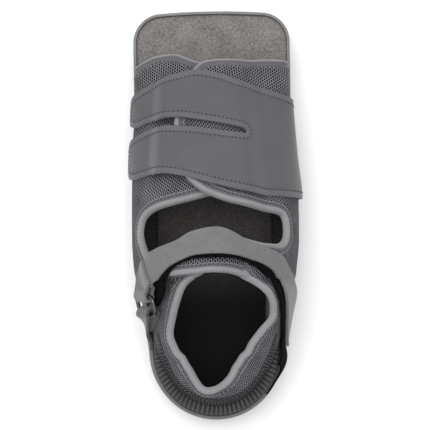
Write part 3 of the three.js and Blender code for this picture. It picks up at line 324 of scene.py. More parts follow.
class FootForm:
    """The foot form under the cloth: half an ellipse over the waist on each side, a deeper one below it."""

    STEP = 0.5
    COLLAR_RUNS = (162, 172)
    CREST_ANGLES = (70, 84)
    WALL_ANGLES = (-65.0, 5.0)
    HALVINGS = 30

    @staticmethod
    def collar_angle(half: Half, run: Array) -> Array:
        """Angle up the form, in degrees, at which a half's collar edge stands."""
        return np.degrees(np.arccos(half.collar_reach(run) / half.width(run)))

    def crest(self, half: Half, run: Array, angle: Array) -> Array:
        """Height of the crest: its own up to the tongues' tips, below those what places the collar."""
        rise = half.collar_height(run) - WAIST(run)
        from_collar = WAIST(run) + rise / np.sin(np.radians(self.collar_angle(half, run)))
        share = smooth(run, *self.COLLAR_RUNS) * (1 - smooth(angle, *self.CREST_ANGLES))
        return lerp(RIDGE(run), from_collar, share)

    @staticmethod
    def foot_angle(run: Array) -> Array:
        """Angle at which the wall starts, down beside the footbed."""
        return -np.degrees(np.arcsin((WAIST(run) - WALL_FOOT_Z) / LOWER_DEPTH(run)))

    def point(self, half: Half, run: Array, angle: Array) -> Array:
        """Station centre, plus the width times the angle's cosine outwards, plus the rise times its sine."""
        run, angle = np.broadcast_arrays(np.asarray(run, float), np.asarray(angle, float))
        turn = np.maximum(0.0, run - TURN_RUN) / HEEL_RADIUS
        centre_y = FRONT_Y - np.minimum(run, TURN_RUN)
        reach = half.width(run) * np.cos(np.radians(angle))
        rise = np.where(angle >= 0, self.crest(half, run, angle) - WAIST(run), LOWER_DEPTH(run))
        height = WAIST(run) + toe_lift(centre_y) + rise * np.sin(np.radians(angle))
        out = half.side.value * np.cos(turn) * reach
        return np.stack([out, centre_y - np.sin(turn) * reach, height], axis=-1)

    def over(self, half: Half, run: Array, angle: Array, distance: Array) -> Array:
        """The form's point moved out along its normal."""
        along = self.point(half, run + self.STEP, angle) - self.point(half, run - self.STEP, angle)
        up = self.point(half, run, angle + self.STEP) - self.point(half, run, angle - self.STEP)
        normal = unit(np.cross(up, along)) * half.side.value
        return self.point(half, run, angle) + normal * np.asarray(distance)[..., None]

    def across(self, run: Array, across: Array, distance: Array) -> Array:
        """The same, with one angle that goes right across from left to right."""
        run, across, distance = np.broadcast_arrays(run, across, distance)
        left = self.over(LEFT_HALF, run, across, distance)
        right = self.over(RIGHT_HALF, run, 180.0 - across, distance)
        return np.where((across <= 90.0)[..., None], left, right)

    def wall_reach(self, half: Half, run: Array, height: Array, distance: float) -> Array:
        """Distance of the lower wall from the midline at a height, found by halving the angle's range."""
        low, high = (np.full(np.shape(run), angle) for angle in self.WALL_ANGLES)
        offset = np.full(np.shape(run), distance)
        for _ in range(self.HALVINGS):
            middle = (low + high) / 2
            under = self.over(half, run, middle, offset)[..., 2] < height
            low, high = np.where(under, middle, low), np.where(under, high, middle)
        found = self.over(half, run, low, offset)
        centre_y = FRONT_Y - np.minimum(run, TURN_RUN)
        turn = np.maximum(0.0, run - TURN_RUN) / HEEL_RADIUS
        return found[..., 0] * half.side.value * np.cos(turn) - (found[..., 1] - centre_y) * np.sin(turn)


FORM = FootForm()


@dataclass(frozen=True)
class Skin:
    """A surface as a function of two parameters, with a side that faces away from the foot."""

    place: Callable[[Array, Array], Array]
    facing: float
    step: float = 0.4

    def slopes(self, a: Array, b: Array) -> tuple[Array, Array]:
        """How the point moves with each parameter."""
        step = self.step
        by_a = (self.place(a + step, b) - self.place(a - step, b)) / (2 * step)
        by_b = (self.place(a, b + step) - self.place(a, b - step)) / (2 * step)
        return by_a, by_b

    def normal(self, a: Array, b: Array) -> Array:
        """The outward direction: the cross product of the two slopes."""
        by_a, by_b = self.slopes(a, b)
        return unit(np.cross(by_b, by_a)) * self.facing

    def inset(self, path: Array, depths: Array, inside: float) -> Array:
        """Parameters of lines beside a path on the surface.

        Args:
            path: the path's two parameters, one row for each place.
            depths: how far each line lies from the path, in millimetres.
            inside: 1 or -1, the side of the path on which the cloth lies.

        Returns:
            Parameters for each place and depth. Each step is square to the path and along the surface.
        """
        a, b = path.T
        by_a, by_b = self.slopes(a, b)
        tangent = unit(np.gradient(self.place(a, b), axis=0))
        inward = np.cross(self.normal(a, b), tangent) * inside
        grid = np.stack([by_a, by_b], axis=-1)
        steps = np.einsum("nij,nj->ni", np.linalg.pinv(grid), inward)
        return path[:, None, :] + steps[:, None, :] * np.asarray(depths)[None, :, None]


def resample(path: Array, lengths: Array, spacing: float, soften: int = 0) -> Array:
    """A path's rows again at even steps of length, averaged with their neighbours as often as asked."""
    count = max(3, int(round((lengths[-1] - lengths[0]) / spacing)) + 1)
    at = np.linspace(lengths[0], lengths[-1], count)
    rows = np.stack([np.interp(at, lengths, path[:, k]) for k in range(path.shape[1])], axis=-1)
    for _ in range(soften):
        rows[1:-1] = (rows[:-2] + 2 * rows[1:-1] + rows[2:]) / 4
    return rows


def running_length(points: Array) -> Array:
    """Length along a line of points, from 0 at its first."""
    steps = np.linalg.norm(np.diff(points, axis=0), axis=-1)
    return np.concatenate([[0.0], np.cumsum(steps)])


def nearest(points: Array, line: Array) -> Array:
    """Distance from each point to the nearest point of a line, worked out in parts to save memory."""
    parts = np.array_split(points, NEAREST_PARTS)
    return np.concatenate([np.linalg.norm(part[:, None] - line[None], axis=-1).min(axis=1) for part in parts])


def grid_faces(columns: int, rows: int, keep: Array | None = None) -> Array:
    """Four-cornered faces of a grid of points, all of them or those that are kept."""
    kept = np.ones((columns - 1, rows - 1), bool) if keep is None else keep
    i, j = np.nonzero(kept)
    first = i * rows + j
    return np.stack([first, first + rows, first + rows + 1, first + 1], axis=-1)


def ring_faces(rings: int, sides: int, closed: bool = False) -> Array:
    """Faces between rings of equal count, joined to a tube, which is closed on itself if asked."""
    i, k = np.meshgrid(np.arange(rings if closed else rings - 1), np.arange(sides), indexing="ij")
    i, k = i.ravel(), k.ravel()
    here, after = i * sides, (i + 1) % rings * sides
    return np.stack([here + k, after + k, after + (k + 1) % sides, here + (k + 1) % sides], axis=-1)


@dataclass
class Piece:
    """A mesh of the shoe before it is put into the scene."""

    name: str
    points: Array
    faces: list[list[int]]
    uv: Array | None = None
    marks: dict[str, Array] = field(default_factory=dict)
    sharp_angle: float | None = None

    def build(self) -> bpy.types.Object:
        """Makes the mesh in metres, with its cloth coordinates and marks, from the points that faces use.

        Returns:
            The object, at the origin, in the scene's collection.
        """
        used, order = np.unique(np.concatenate([np.asarray(f) for f in self.faces]), return_inverse=True)
        sizes = np.cumsum([len(face) for face in self.faces])[:-1]
        faces = [part.tolist() for part in np.split(order, sizes)]
        mesh = bpy.data.meshes.new(self.name)
        mesh.from_pydata((self.points[used] * MM).tolist(), [], faces)
        mesh.polygons.foreach_set("use_smooth", np.ones(len(faces), bool))
        if self.uv is not None:
            layer = mesh.uv_layers.new(name=CLOTH_UV)
            corners = np.empty(len(mesh.loops), np.int32)
            mesh.loops.foreach_get("vertex_index", corners)
            layer.data.foreach_set("uv", (self.uv[used] * MM)[corners].astype(np.float32).ravel())
        for name, values in self.marks.items():
            mark = mesh.attributes.new(name, "FLOAT", "POINT")
            mark.data.foreach_set("value", values[used].astype(np.float32))
        if self.sharp_angle is not None:
            mesh.set_sharp_from_angle(angle=math.radians(self.sharp_angle))
        mesh.validate()
        made = bpy.data.objects.new(self.name, mesh)
        bpy.context.scene.collection.objects.link(made)
        return made


def sheet_area(points: Array, keep: Array | None = None) -> float:
    """Area of a grid of points in square metres, from the cross product of each face's diagonals."""
    one = points[1:, 1:] - points[:-1, :-1]
    two = points[:-1, 1:] - points[1:, :-1]
    areas = np.linalg.norm(np.cross(one, two), axis=-1) / 2
    return float(areas.sum() if keep is None else areas[keep].sum()) * MM * MM


def thicken(made: bpy.types.Object, thickness: float, bevel: float) -> None:
    """Gives a sheet its thickness on both sides of the middle, and rounds its cut edges.

    Args:
        made: the sheet.
        thickness: in millimetres.
        bevel: how far the edges are rounded, in millimetres.
    """
    wall = made.modifiers.new("thickness", "SOLIDIFY")
    wall.thickness = thickness * MM
    wall.offset = 0.0
    wall.use_even_offset = False
    edge = made.modifiers.new("soft edge", "BEVEL")
    edge.width = bevel * MM
    edge.segments = EDGE_SEGMENTS
    edge.limit_method = "ANGLE"
    edge.angle_limit = math.radians(EDGE_ANGLE)


def weld(made: bpy.types.Object) -> None:
    """Joins points of a mesh that lie in the same place."""
    work = bmesh.new()
    work.from_mesh(made.data)
    bmesh.ops.remove_doubles(work, verts=work.verts, dist=WELD_DISTANCE)
    work.to_mesh(made.data)
    work.free()


def to_linear(code: str) -> tuple[float, float, float, float]:
    """An sRGB hex colour as linear red, green, blue and alpha."""
    parts = [int(code[k : k + 2], 16) / 255 for k in (1, 3, 5)]
    red, green, blue = (c / 12.92 if c <= 0.04045 else ((c + 0.055) / 1.055) ** 2.4 for c in parts)
    return red, green, blue, 1.0


def add(tree: bpy.types.NodeTree, kind: str, feeds: dict | None = None, **settings: object) -> bpy.types.Node:
    """Adds a shader node.

    Args:
        tree: the material's node tree.
        kind: the node's type without its common beginning.
        feeds: what goes into each input, by name or number: a value, or another node's output.
        settings: the node's own settings.

    Returns:
        The node.
    """
    made = tree.nodes.new("ShaderNode" + kind)
    for name, value in settings.items():
        setattr(made, name, value)
    for key, value in (feeds or {}).items():
        if isinstance(value, bpy.types.NodeSocket):
            tree.links.new(value, made.inputs[key])
        else:
            made.inputs[key].default_value = value
    return made


def new_tree(name: str) -> tuple[bpy.types.Material, bpy.types.NodeTree]:
    """An empty material and its node tree."""
    material = bpy.data.materials.new(name)
    material.use_nodes = True
    material.node_tree.nodes.clear()
    return material, material.node_tree


Socket = bpy.types.NodeSocket
Tree = bpy.types.NodeTree


def maths(tree: Tree, operation: str, *values: float | Socket) -> Socket:
    """What one sum gives, from values or other nodes' outputs."""
    return add(tree, "Math", dict(enumerate(values)), operation=operation).outputs[0]


def ramp(tree: Tree, value: Socket, ends: Pair, top: float = 1.0, soft: bool = False) -> Socket:
    """A value taken from 0 at the first end to the top at the second, in a straight line or an even S."""
    way = "SMOOTHSTEP" if soft else "LINEAR"
    feeds = {0: value, 1: ends[0], 2: ends[1], 3: 0.0, 4: top}
    return add(tree, "MapRange", feeds, interpolation_type=way).outputs[0]


def noise(tree: Tree, scale: float, detail: float = 2.0) -> Socket:
    """Noise in the object's own coordinates, with so many lumps to the metre."""
    where = add(tree, "TexCoord").outputs["Object"]
    return add(tree, "TexNoise", {"Vector": where, "Scale": scale, "Detail": detail}).outputs[0]


def blend(tree: Tree, share: Socket, first: str | Socket, second: str | Socket) -> Socket:
    """Two colours mixed, each given as a hex code or another node's output."""
    ends = [to_linear(colour) if isinstance(colour, str) else colour for colour in (first, second)]
    return add(tree, "Mix", {0: share, 6: ends[0], 7: ends[1]}, data_type="RGBA").outputs[2]


def marked_share(tree: Tree, name: str) -> Socket:
    """The value of a mark on the mesh."""
    return add(tree, "Attribute", attribute_name=name).outputs["Fac"]


def coat(tree: Tree, colour: Socket, height: Socket, bump: float, shine: dict[str, float]) -> None:
    """Closes a finish.

    Args:
        tree: the material's node tree.
        colour: the base colour.
        height: the relief, from 0 to 1.
        bump: how high the relief stands, in millimetres.
        shine: the shader's other inputs by name.
    """
    relief = add(tree, "Bump", {"Height": height, "Strength": 1.0, "Distance": bump * MM})
    feeds = {"Base Color": colour, "Normal": relief.outputs[0], **shine}
    shader = add(tree, "BsdfPrincipled", feeds)
    add(tree, "OutputMaterial", {0: shader.outputs[0]})


@dataclass(frozen=True)
class PlainFinish:
    """A surface with a fine grain: a noise of the grain's size shifts its colour and raises its bump.

    With a mark, the colour goes over to the marked one where that attribute is 1.
    """

    name: str
    dark: str
    light: str
    grain: float
    bump: float
    roughness: float
    metallic: float = 0.0
    sheen: float = 0.0
    specular: float = 0.5
    broad: float = 1.0
    broad_grains: float = 12.0
    tone_ends: Pair = (0.28, 0.72)
    mark: str = ""
    marked: str = "#000000"

    def material(self) -> bpy.types.Material:
        """Builds the node tree."""
        material, tree = new_tree(self.name)
        fine = noise(tree, 1 / (self.grain * MM), 3.0)
        drift = maths(tree, "SUBTRACT", noise(tree, 1 / (self.broad_grains * self.grain * MM)), 0.5)
        share = ramp(tree, maths(tree, "MULTIPLY_ADD", drift, self.broad, fine), self.tone_ends)
        colour = blend(tree, share, self.dark, self.light)
        if self.mark:
            colour = blend(tree, marked_share(tree, self.mark), colour, self.marked)
        coat(tree, colour, fine, self.bump, {
            "Roughness": self.roughness, "Metallic": self.metallic, "Sheen Weight": self.sheen,
            "Specular IOR Level": self.specular,
        })
        return material


@dataclass(frozen=True)
class MeshFinish:
    """Knitted spacer mesh: rows of open cells, each row shifted by half a cell, with ribs round the heel."""

    name: str
    hole: str
    knit: str
    crown: str
    pitch: float
    row: float
    fine_rib: float
    rib: float
    bump: float
    hole_edge: Pair = (0.3, 0.5)
    rib_ends: Pair = (-0.9, 0.9)
    rib_tone: float = 0.25
    drift_scale: float = 70.0
    roughness: float = 0.85
    sheen: float = 0.03
    specular: float = 0.1

    def material(self) -> bpy.types.Material:
        """Builds the node tree: the distance from a cell's middle sets the hole, and the ribs are a wave."""
        material, tree = new_tree(self.name)
        along, up = add(tree, "SeparateXYZ", {0: add(tree, "UVMap", uv_map=CLOTH_UV).outputs[0]}).outputs[:2]
        over = maths(tree, "MULTIPLY", up, 1 / (self.row * MM))
        cells = maths(tree, "MULTIPLY", along, 1 / (self.pitch * MM))
        shift = maths(tree, "MULTIPLY_ADD", maths(tree, "FLOOR", over), 0.5, cells)
        x, y = (maths(tree, "SUBTRACT", maths(tree, "FRACT", value), 0.5) for value in (shift, over))
        spot = add(tree, "CombineXYZ", {0: x, 1: y}).outputs[0]
        from_middle = add(tree, "VectorMath", {0: spot}, operation="LENGTH").outputs["Value"]
        cell = ramp(tree, from_middle, self.hole_edge, soft=True)
        fine, broad = (
            maths(tree, "SINE", maths(tree, "MULTIPLY", along, 2 * math.pi / (pitch * MM)))
            for pitch in (self.fine_rib, self.rib)
        )
        wave = add(tree, "Mix", {0: marked_share(tree, "coarse"), 2: fine, 3: broad}).outputs[0]
        ribs = ramp(tree, wave, self.rib_ends, self.rib_tone, soft=True)
        height = add(tree, "Mix", {0: marked_share(tree, "ribbed"), 2: cell, 3: ribs}).outputs[0]
        yarn = blend(tree, noise(tree, self.drift_scale), self.knit, self.crown)
        knitted = blend(tree, height, self.hole, yarn)
        # Painted shade in the pressed heel seams: the knit goes over to the hole colour.
        colour = blend(tree, marked_share(tree, "seam"), knitted, self.hole)
        coat(tree, colour, height, self.bump, {
            "Roughness": self.roughness, "Sheen Weight": self.sheen, "Specular IOR Level": self.specular,
        })
        return material


@dataclass(frozen=True)
class RibFinish:
    """Ribbed knit: upright ribs, as a wave along the cloth."""

    name: str
    groove: str
    ridge: str
    pitch: float
    bump: float
    roughness: float = 0.9
    specular: float = 0.2

    def material(self) -> bpy.types.Material:
        """Builds the node tree: the wave sets both the colour and the bump."""
        material, tree = new_tree(self.name)
        along = add(tree, "SeparateXYZ", {0: add(tree, "UVMap", uv_map=CLOTH_UV).outputs[0]}).outputs[0]
        wave = maths(tree, "SINE", maths(tree, "MULTIPLY", along, 2 * math.pi / (self.pitch * MM)))
        rib = ramp(tree, wave, (-1.0, 1.0))
        colour = blend(tree, rib, self.groove, self.ridge)
        coat(tree, colour, rib, self.bump, {
            "Roughness": self.roughness, "Specular IOR Level": self.specular,
        })
        return material


@dataclass(frozen=True)
class WovenFinish:
    """Plain-woven cloth: threads over and under along its two directions, as the product of two waves."""

    name: str
    dark: str
    light: str
    border: str
    bump: float
    roughness: float
    thread: float = 0.8
    sheen: float = 0.2
    specular: float = 0.3
    weave_share: float = 0.22
    fuzz_scale: float = 900.0
    drift_scale: float = 45.0
    drift_share: float = 0.8
    tone_ends: Pair = (0.55, 1.25)

    def material(self) -> bpy.types.Material:
        """Builds the node tree, with the pressed border going over to its own colour where it is marked."""
        material, tree = new_tree(self.name)
        cloth = add(tree, "UVMap", uv_map=CLOTH_UV).outputs[0]
        feeds = {0: cloth, 3: math.pi / (self.thread * MM)}
        scaled = add(tree, "VectorMath", feeds, operation="SCALE").outputs[0]
        across, along = add(tree, "SeparateXYZ", {0: scaled}).outputs[:2]
        weave = maths(tree, "MULTIPLY", maths(tree, "SINE", across), maths(tree, "SINE", along))
        relief = maths(tree, "MULTIPLY_ADD", weave, self.weave_share, noise(tree, self.fuzz_scale))
        shifted = maths(tree, "MULTIPLY_ADD", noise(tree, self.drift_scale), self.drift_share, relief)
        woven = blend(tree, ramp(tree, shifted, self.tone_ends), self.dark, self.light)
        colour = blend(tree, marked_share(tree, "border"), woven, self.border)
        coat(tree, colour, relief, self.bump, {
            "Roughness": self.roughness, "Sheen Weight": self.sheen, "Specular IOR Level": self.specular,
        })
        return material


# Moulded foam with closed cells: even and matt, with a faint skin grain.
SOLE_FOAM = PlainFinish(
    "moulded EVA foam", "#5f5f5f", "#686868", grain=0.9, bump=0.05, roughness=0.62, specular=0.4,
)
# Needled felt: warm mottled fibres that scatter light, with painted shade that darkens it inside the shoe.
FOOTBED_FELT = PlainFinish(
    "needled polyester felt", "#524e4c", "#7a7673", grain=1.3, bump=0.3, roughness=0.95, sheen=0.1,
    specular=0.1, broad=0.35, mark="inside", marked="#0b0b0b",
)
# Knitted spacer fabric: dark open cells between lighter knitted yarn.
AIR_MESH = MeshFinish(
    "knitted polyester spacer mesh", hole="#040506", knit="#525358", crown="#88888e", pitch=2.1, row=1.6,
    fine_rib=1.95, rib=2.7, bump=0.5,
)
# Ribbed knit on the foot's side of the mesh: dark, with fine upright grooves.
RIBBED_LINING = RibFinish("ribbed polyester lining", groove="#141416", ridge="#3c3c40", pitch=1.55, bump=0.4)
# Folded woven tape: a smooth pale roll, with a darker pressed flange beside it.
BINDING_TAPE = WovenFinish(
    "woven polyester binding tape", "#6d6b6e", "#7b797c", border="#4c4b4f", bump=0.06, roughness=0.75,
)
# Close woven strap cloth: nearly smooth, with a slightly paler pressed border outside its stitching.
STRAP_CLOTH = WovenFinish(
    "woven nylon strap cloth", "#424245", "#4a4a4e", border="#4c4c50", bump=0.05, roughness=0.7,
)
# The same cloth in the darker tone of the ring's tab.
TAB_CLOTH = WovenFinish(
    "dark woven nylon tab", "#333336", "#3b3b3f", border="#3b3b3f", bump=0.05, roughness=0.7,
)
# Brushed loop pile: pale fibres with a fine even fuzz.
LOOP_PILE = PlainFinish(
    "brushed nylon loop pile", "#555456", "#696869", grain=0.7, bump=0.2, roughness=0.95, sheen=0.2,
    specular=0.2, broad=0.3,
)
# Black lining: laminated foam that takes up nearly all light.
BLACK_LINING = PlainFinish(
    "black laminated lining foam", "#060607", "#0d0d0e", grain=0.9, bump=0.1, roughness=0.95, specular=0.05,
)
# Drawn steel wire with a satin skin: a soft streak of light along each bar.
RING_STEEL = PlainFinish(
    "satin drawn steel wire", "#48484c", "#56565a", grain=0.5, bump=0.01, roughness=0.38, metallic=1.0,
)
# Twisted sewing thread: dark, with a slight shine.
THREAD = PlainFinish(
    "twisted polyester thread", "#1a1a1d", "#28282c", grain=0.4, bump=0.05, roughness=0.6, sheen=0.1,
)
# Pale studio floor.
FLOOR = PlainFinish(
    "matt pale studio floor", "#e2e2e2", "#e4e4e4", grain=40.0, bump=0.0, roughness=0.9, specular=0.1,
)


def dress(made: bpy.types.Object, material: bpy.types.Material, slot: str, *nodes: str) -> bpy.types.Object:
    """Gives a piece its material, fixes it to the shoe and lets it stand for its solids.

    Args:
        made: the piece.
        material: its finish.
        slot: not used.
        nodes: the solids that it stands for.

    Returns:
        The piece.
    """
    made.data.materials.append(material)
    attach(made, "root")
    if nodes:
        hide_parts(*nodes)
    LOG.info("%s: %d faces", made.name, len(made.data.polygons))
    return made


@dataclass
class StitchRow:
    """Sewing stitches along a path: short spindles of thread, half sunk into the cloth."""

    pitch: float = 2.9
    length: float = 1.6
    radius: float = 0.5
    sides: int = 5
    # Columns: share of the length from the middle, share of the radius.
    spindle: tuple[Pair, ...] = ((-0.5, 0.3), (-0.32, 1.0), (0.32, 1.0), (0.5, 0.3))

    def piece(self, name: str, paths: list[tuple[Array, Array]]) -> Piece:
        """Places a spindle at each step of each path.

        Args:
            name: the piece's name.
            paths: for each row of stitches, its points and the directions away from the cloth.

        Returns:
            All the stitches as one piece. Each point is the stitch's middle, plus a share of its length along
            the path, plus its radius times the cosine across and the sine outwards.
        """
        lengthwise, swell = np.array(self.spindle).T * [[self.length], [self.radius]]
        turn = np.arange(self.sides) * 2 * math.pi / self.sides
        all_points, all_faces, start = [], [], 0
        for points, normals in paths:
            at = running_length(points)
            middles = np.arange(self.pitch / 2, at[-1], self.pitch)
            rows = np.concatenate([points, unit(np.gradient(points, axis=0)), normals], axis=1)
            placed = np.stack([np.interp(middles, at, values) for values in rows.T], axis=-1)
            middle, along, out = placed[:, :3], unit(placed[:, 3:6]), unit(placed[:, 6:])
            side = unit(np.cross(along, out))
            round_part = side[:, None] * np.cos(turn)[:, None] + out[:, None] * np.sin(turn)[:, None]
            spindles = (
                middle[:, None, None, :]
                + along[:, None, None, :] * lengthwise[None, :, None, None]
                + round_part[:, None, :, :] * swell[None, :, None, None]
            )
            count = len(middles)
            each = len(lengthwise) * self.sides
            tube = ring_faces(len(lengthwise), self.sides)
            firsts = start + np.arange(count) * each
            caps = np.stack([np.arange(self.sides)[::-1], each - self.sides + np.arange(self.sides)])
            all_faces += (firsts[:, None, None] + tube[None]).reshape(-1, 4).tolist()
            all_faces += (firsts[:, None, None] + caps[None]).reshape(-1, self.sides).tolist()
            all_points.append(spindles.reshape(-1, 3))
            start += count * each
        return Piece(name, np.concatenate(all_points), all_faces)


@dataclass
class SoleUnit:
    """The foam sole and the footbed that lies in it, both lofted from the same outline."""

    toe_half_width: float = 55.8
    toe_corner: float = 20.5
    toe_front_radius: float = 500.0
    toe_lip: float = 2.0
    rim_round: float = 0.8
    # Columns: inset from the outline, height over the tread.
    tread_edge: tuple[Pair, ...] = ((4.0, 0.0), (2.6, 0.5), (1.7, 1.6), (1.1, 3.2), (0.8, 5.0))
    # Columns: inset, share of the way from the tread to the rim.
    side: tuple[Pair, ...] = ((0.25, 0.36), (0.0, 0.5))
    # Columns: inset, depth under the rim.
    rim_edge: tuple[Pair, ...] = ((0.0, 1.7), (0.12, 0.8), (0.42, 0.22), (0.8, 0.0))
    # Columns: inset, depth under the footbed's top.
    insole_edge: tuple[Pair, ...] = ((0.0, 0.8), (0.1, 0.35), (0.35, 0.1), (0.8, 0.0))
    # Painted shade inside the shoe. Columns: how much darker, up to which Y in full, and up to which Y at
    # all.
    inside_shade: tuple[tuple[float, float, float], ...] = ((0.62, 40, 96), (0.36, -70, 0))
    wall_check: float = 1.0
    open_toe_runs: Pair = (4.0, 13.0)
    front_steps: int = 14
    corner_steps: int = 22
    side_steps: int = 90
    heel_steps: int = 44
    insole_gap: float = 0.3
    insole_side_gap: float = 1.7
    insole_top: float = 26.3
    insole_toe_inset: float = 2.2
    insole_foot_inset: float = 3.2
    wall_clearance: float = 1.2

    def outline(self) -> tuple[Array, Array, Array]:
        """The right half's outline from the middle of the toe to the middle of the heel.

        Returns:
            Points, outward directions and runs. The toe is a flat arc and a corner arc, the side follows the
            half width, and the heel is fanned round its centre.
        """
        corner_x = self.toe_half_width - self.toe_corner
        front_y = TOE_Y - self.toe_front_radius
        corner_rise = math.sqrt((self.toe_front_radius - self.toe_corner) ** 2 - corner_x**2)
        corner_y = front_y + corner_rise
        corner_angle = math.atan2(corner_rise, corner_x)
        front = np.linspace(math.pi / 2, corner_angle, self.front_steps)[:-1]
        bend = np.linspace(corner_angle, 0.0, self.corner_steps)
        run = np.concatenate([
            np.linspace(FRONT_Y - corner_y, TURN_RUN, self.side_steps)[1:],
            np.linspace(TURN_RUN, END_RUN, self.heel_steps)[1:],
        ])
        turn = np.maximum(0.0, run - TURN_RUN) / HEEL_RADIUS
        angles = np.concatenate([front, bend, -turn])
        outward = np.stack([np.cos(angles), np.sin(angles), 0 * angles], axis=-1)
        centre = np.zeros((len(angles), 3))
        centre[: len(front), 1] = front_y
        centre[len(front) : len(front) + len(bend)] = (corner_x, corner_y, 0)
        centre[len(front) + len(bend) :, 1] = FRONT_Y - np.minimum(run, TURN_RUN)
        radius = np.concatenate([
            np.full(len(front), self.toe_front_radius),
            np.full(len(bend), self.toe_corner),
            SOLE_HALF_WIDTH(run),
        ])
        points = centre + outward * radius[:, None]
        runs = np.concatenate([FRONT_Y - points[: len(front) + len(bend), 1], run])
        return points, outward, runs

    def wall_inset(self, height: float, distance: float, toe_inset: float, widest: bool) -> Array:
        """How far inside the outline a surface of the walls lies, with a plain inset round the open toe.

        Args:
            height: where the walls are met, before the toe's lift.
            distance: how far outside the foot form.
            toe_inset: the inset round the toe.
            widest: whether the wider of the two walls counts, or else the narrower.

        Returns:
            The inset at each place of the outline.
        """
        points, _, runs = self.outline()
        level = height + toe_lift(points[:, 1])
        pick = np.maximum if widest else np.minimum
        reach = pick(*(FORM.wall_reach(half, runs, level, distance) for half in (LEFT_HALF, RIGHT_HALF)))
        return lerp(toe_inset, SOLE_HALF_WIDTH(runs) - reach, smooth(runs, *self.open_toe_runs))

    def rings(self, levels: list[tuple[Array, Callable[[Array], Array]]]) -> Array:
        """Closed rings, one for each inset and height, with the left side mirrored from the right."""
        points, outward, _ = self.outline()
        made = []
        for inset, height in levels:
            right = points - outward * np.broadcast_to(inset, (len(points),))[:, None]
            right[:, 2] = height(right[:, 1])
            right[[0, -1], 0] = 0.0
            left = right[1:-1][::-1] * (-1, 1, 1)
            made.append(np.concatenate([right, left]))
        return np.stack(made)

    def loft(self, name: str, rings: Array) -> Piece:
        """Joins the rings from the tread up and closes both ends with rungs between left and right."""
        levels, count, _ = rings.shape
        half = count // 2
        k = np.arange(half)
        rungs = np.stack([k, k + 1, (count - k - 1) % count, (count - k) % count], axis=-1)
        top = (levels - 1) * count
        faces = ring_faces(levels, count).tolist()
        faces += [list(dict.fromkeys(row)) for row in rungs.tolist()]
        faces += [list(dict.fromkeys(row)) for row in (rungs[:, ::-1] + top).tolist()]
        return Piece(name, rings.reshape(-1, 3), faces, sharp_angle=FOAM_SHARP_ANGLE)

    def sole(self) -> Piece:
        """The sole: rolled tread edge, plain side, rounded rim, and a pocket for the footbed and walls."""
        pocket = MESH_OUTER + self.wall_clearance

        def rim(y: Array) -> Array:
            """Height of the rim."""
            return RIM_Z + toe_lift(y)

        def bed(y: Array) -> Array:
            """Height of the pocket's floor."""
            return FLOOR_Z + toe_lift(y)

        levels = [(inset, lambda y, up=up: tread_height(y) + up) for inset, up in self.tread_edge]
        levels += [(inset, lambda y, up=up: lerp(tread_height(y), rim(y), up)) for inset, up in self.side]
        levels += [(inset, lambda y, down=down: rim(y) - down) for inset, down in self.rim_edge]
        levels += [(self.wall_inset(RIM_Z, pocket, self.toe_lip, True), rim)]
        foot = self.wall_inset(FLOOR_Z + self.wall_check, pocket, self.toe_lip + self.rim_round, True)
        levels += [(foot, bed)]
        return self.loft("sole_foam_unit", self.rings(levels))

    def insole(self) -> Piece:
        """The footbed: rounded upper edge, and a mark of painted shade, up to nearly 1, where it lies inside
        the closed shoe.
        """
        inner = MESH_INNER - self.insole_side_gap
        low = FLOOR_Z + self.insole_gap
        top = self.insole_top
        side = self.wall_inset(top - self.wall_check, inner, self.insole_toe_inset, False)
        base = self.wall_inset(low + self.wall_check, inner, self.insole_foot_inset, False)
        steps = [(base, 0.0, low), *((side, inset, top - down) for inset, down in self.insole_edge)]
        levels = [(inset + extra, lambda y, z=z: z + toe_lift(y)) for inset, extra, z in steps]
        piece = self.loft("insole_felt", self.rings(levels))
        y = piece.points[:, 1]
        # Painted shade: the felt goes darker under the upper, to nearly black at the heel.
        piece.marks["inside"] = sum(share * (1 - smooth(y, *ends)) for share, *ends in self.inside_shade)
        return piece

    def build(self, materials: dict[PlainFinish, bpy.types.Material]) -> None:
        """Builds and dresses both pieces."""
        dress(self.sole().build(), materials[SOLE_FOAM], "sole_foam", "sole")
        felt = dress(self.insole().build(), materials[FOOTBED_FELT], "footbed_felt", "insole")


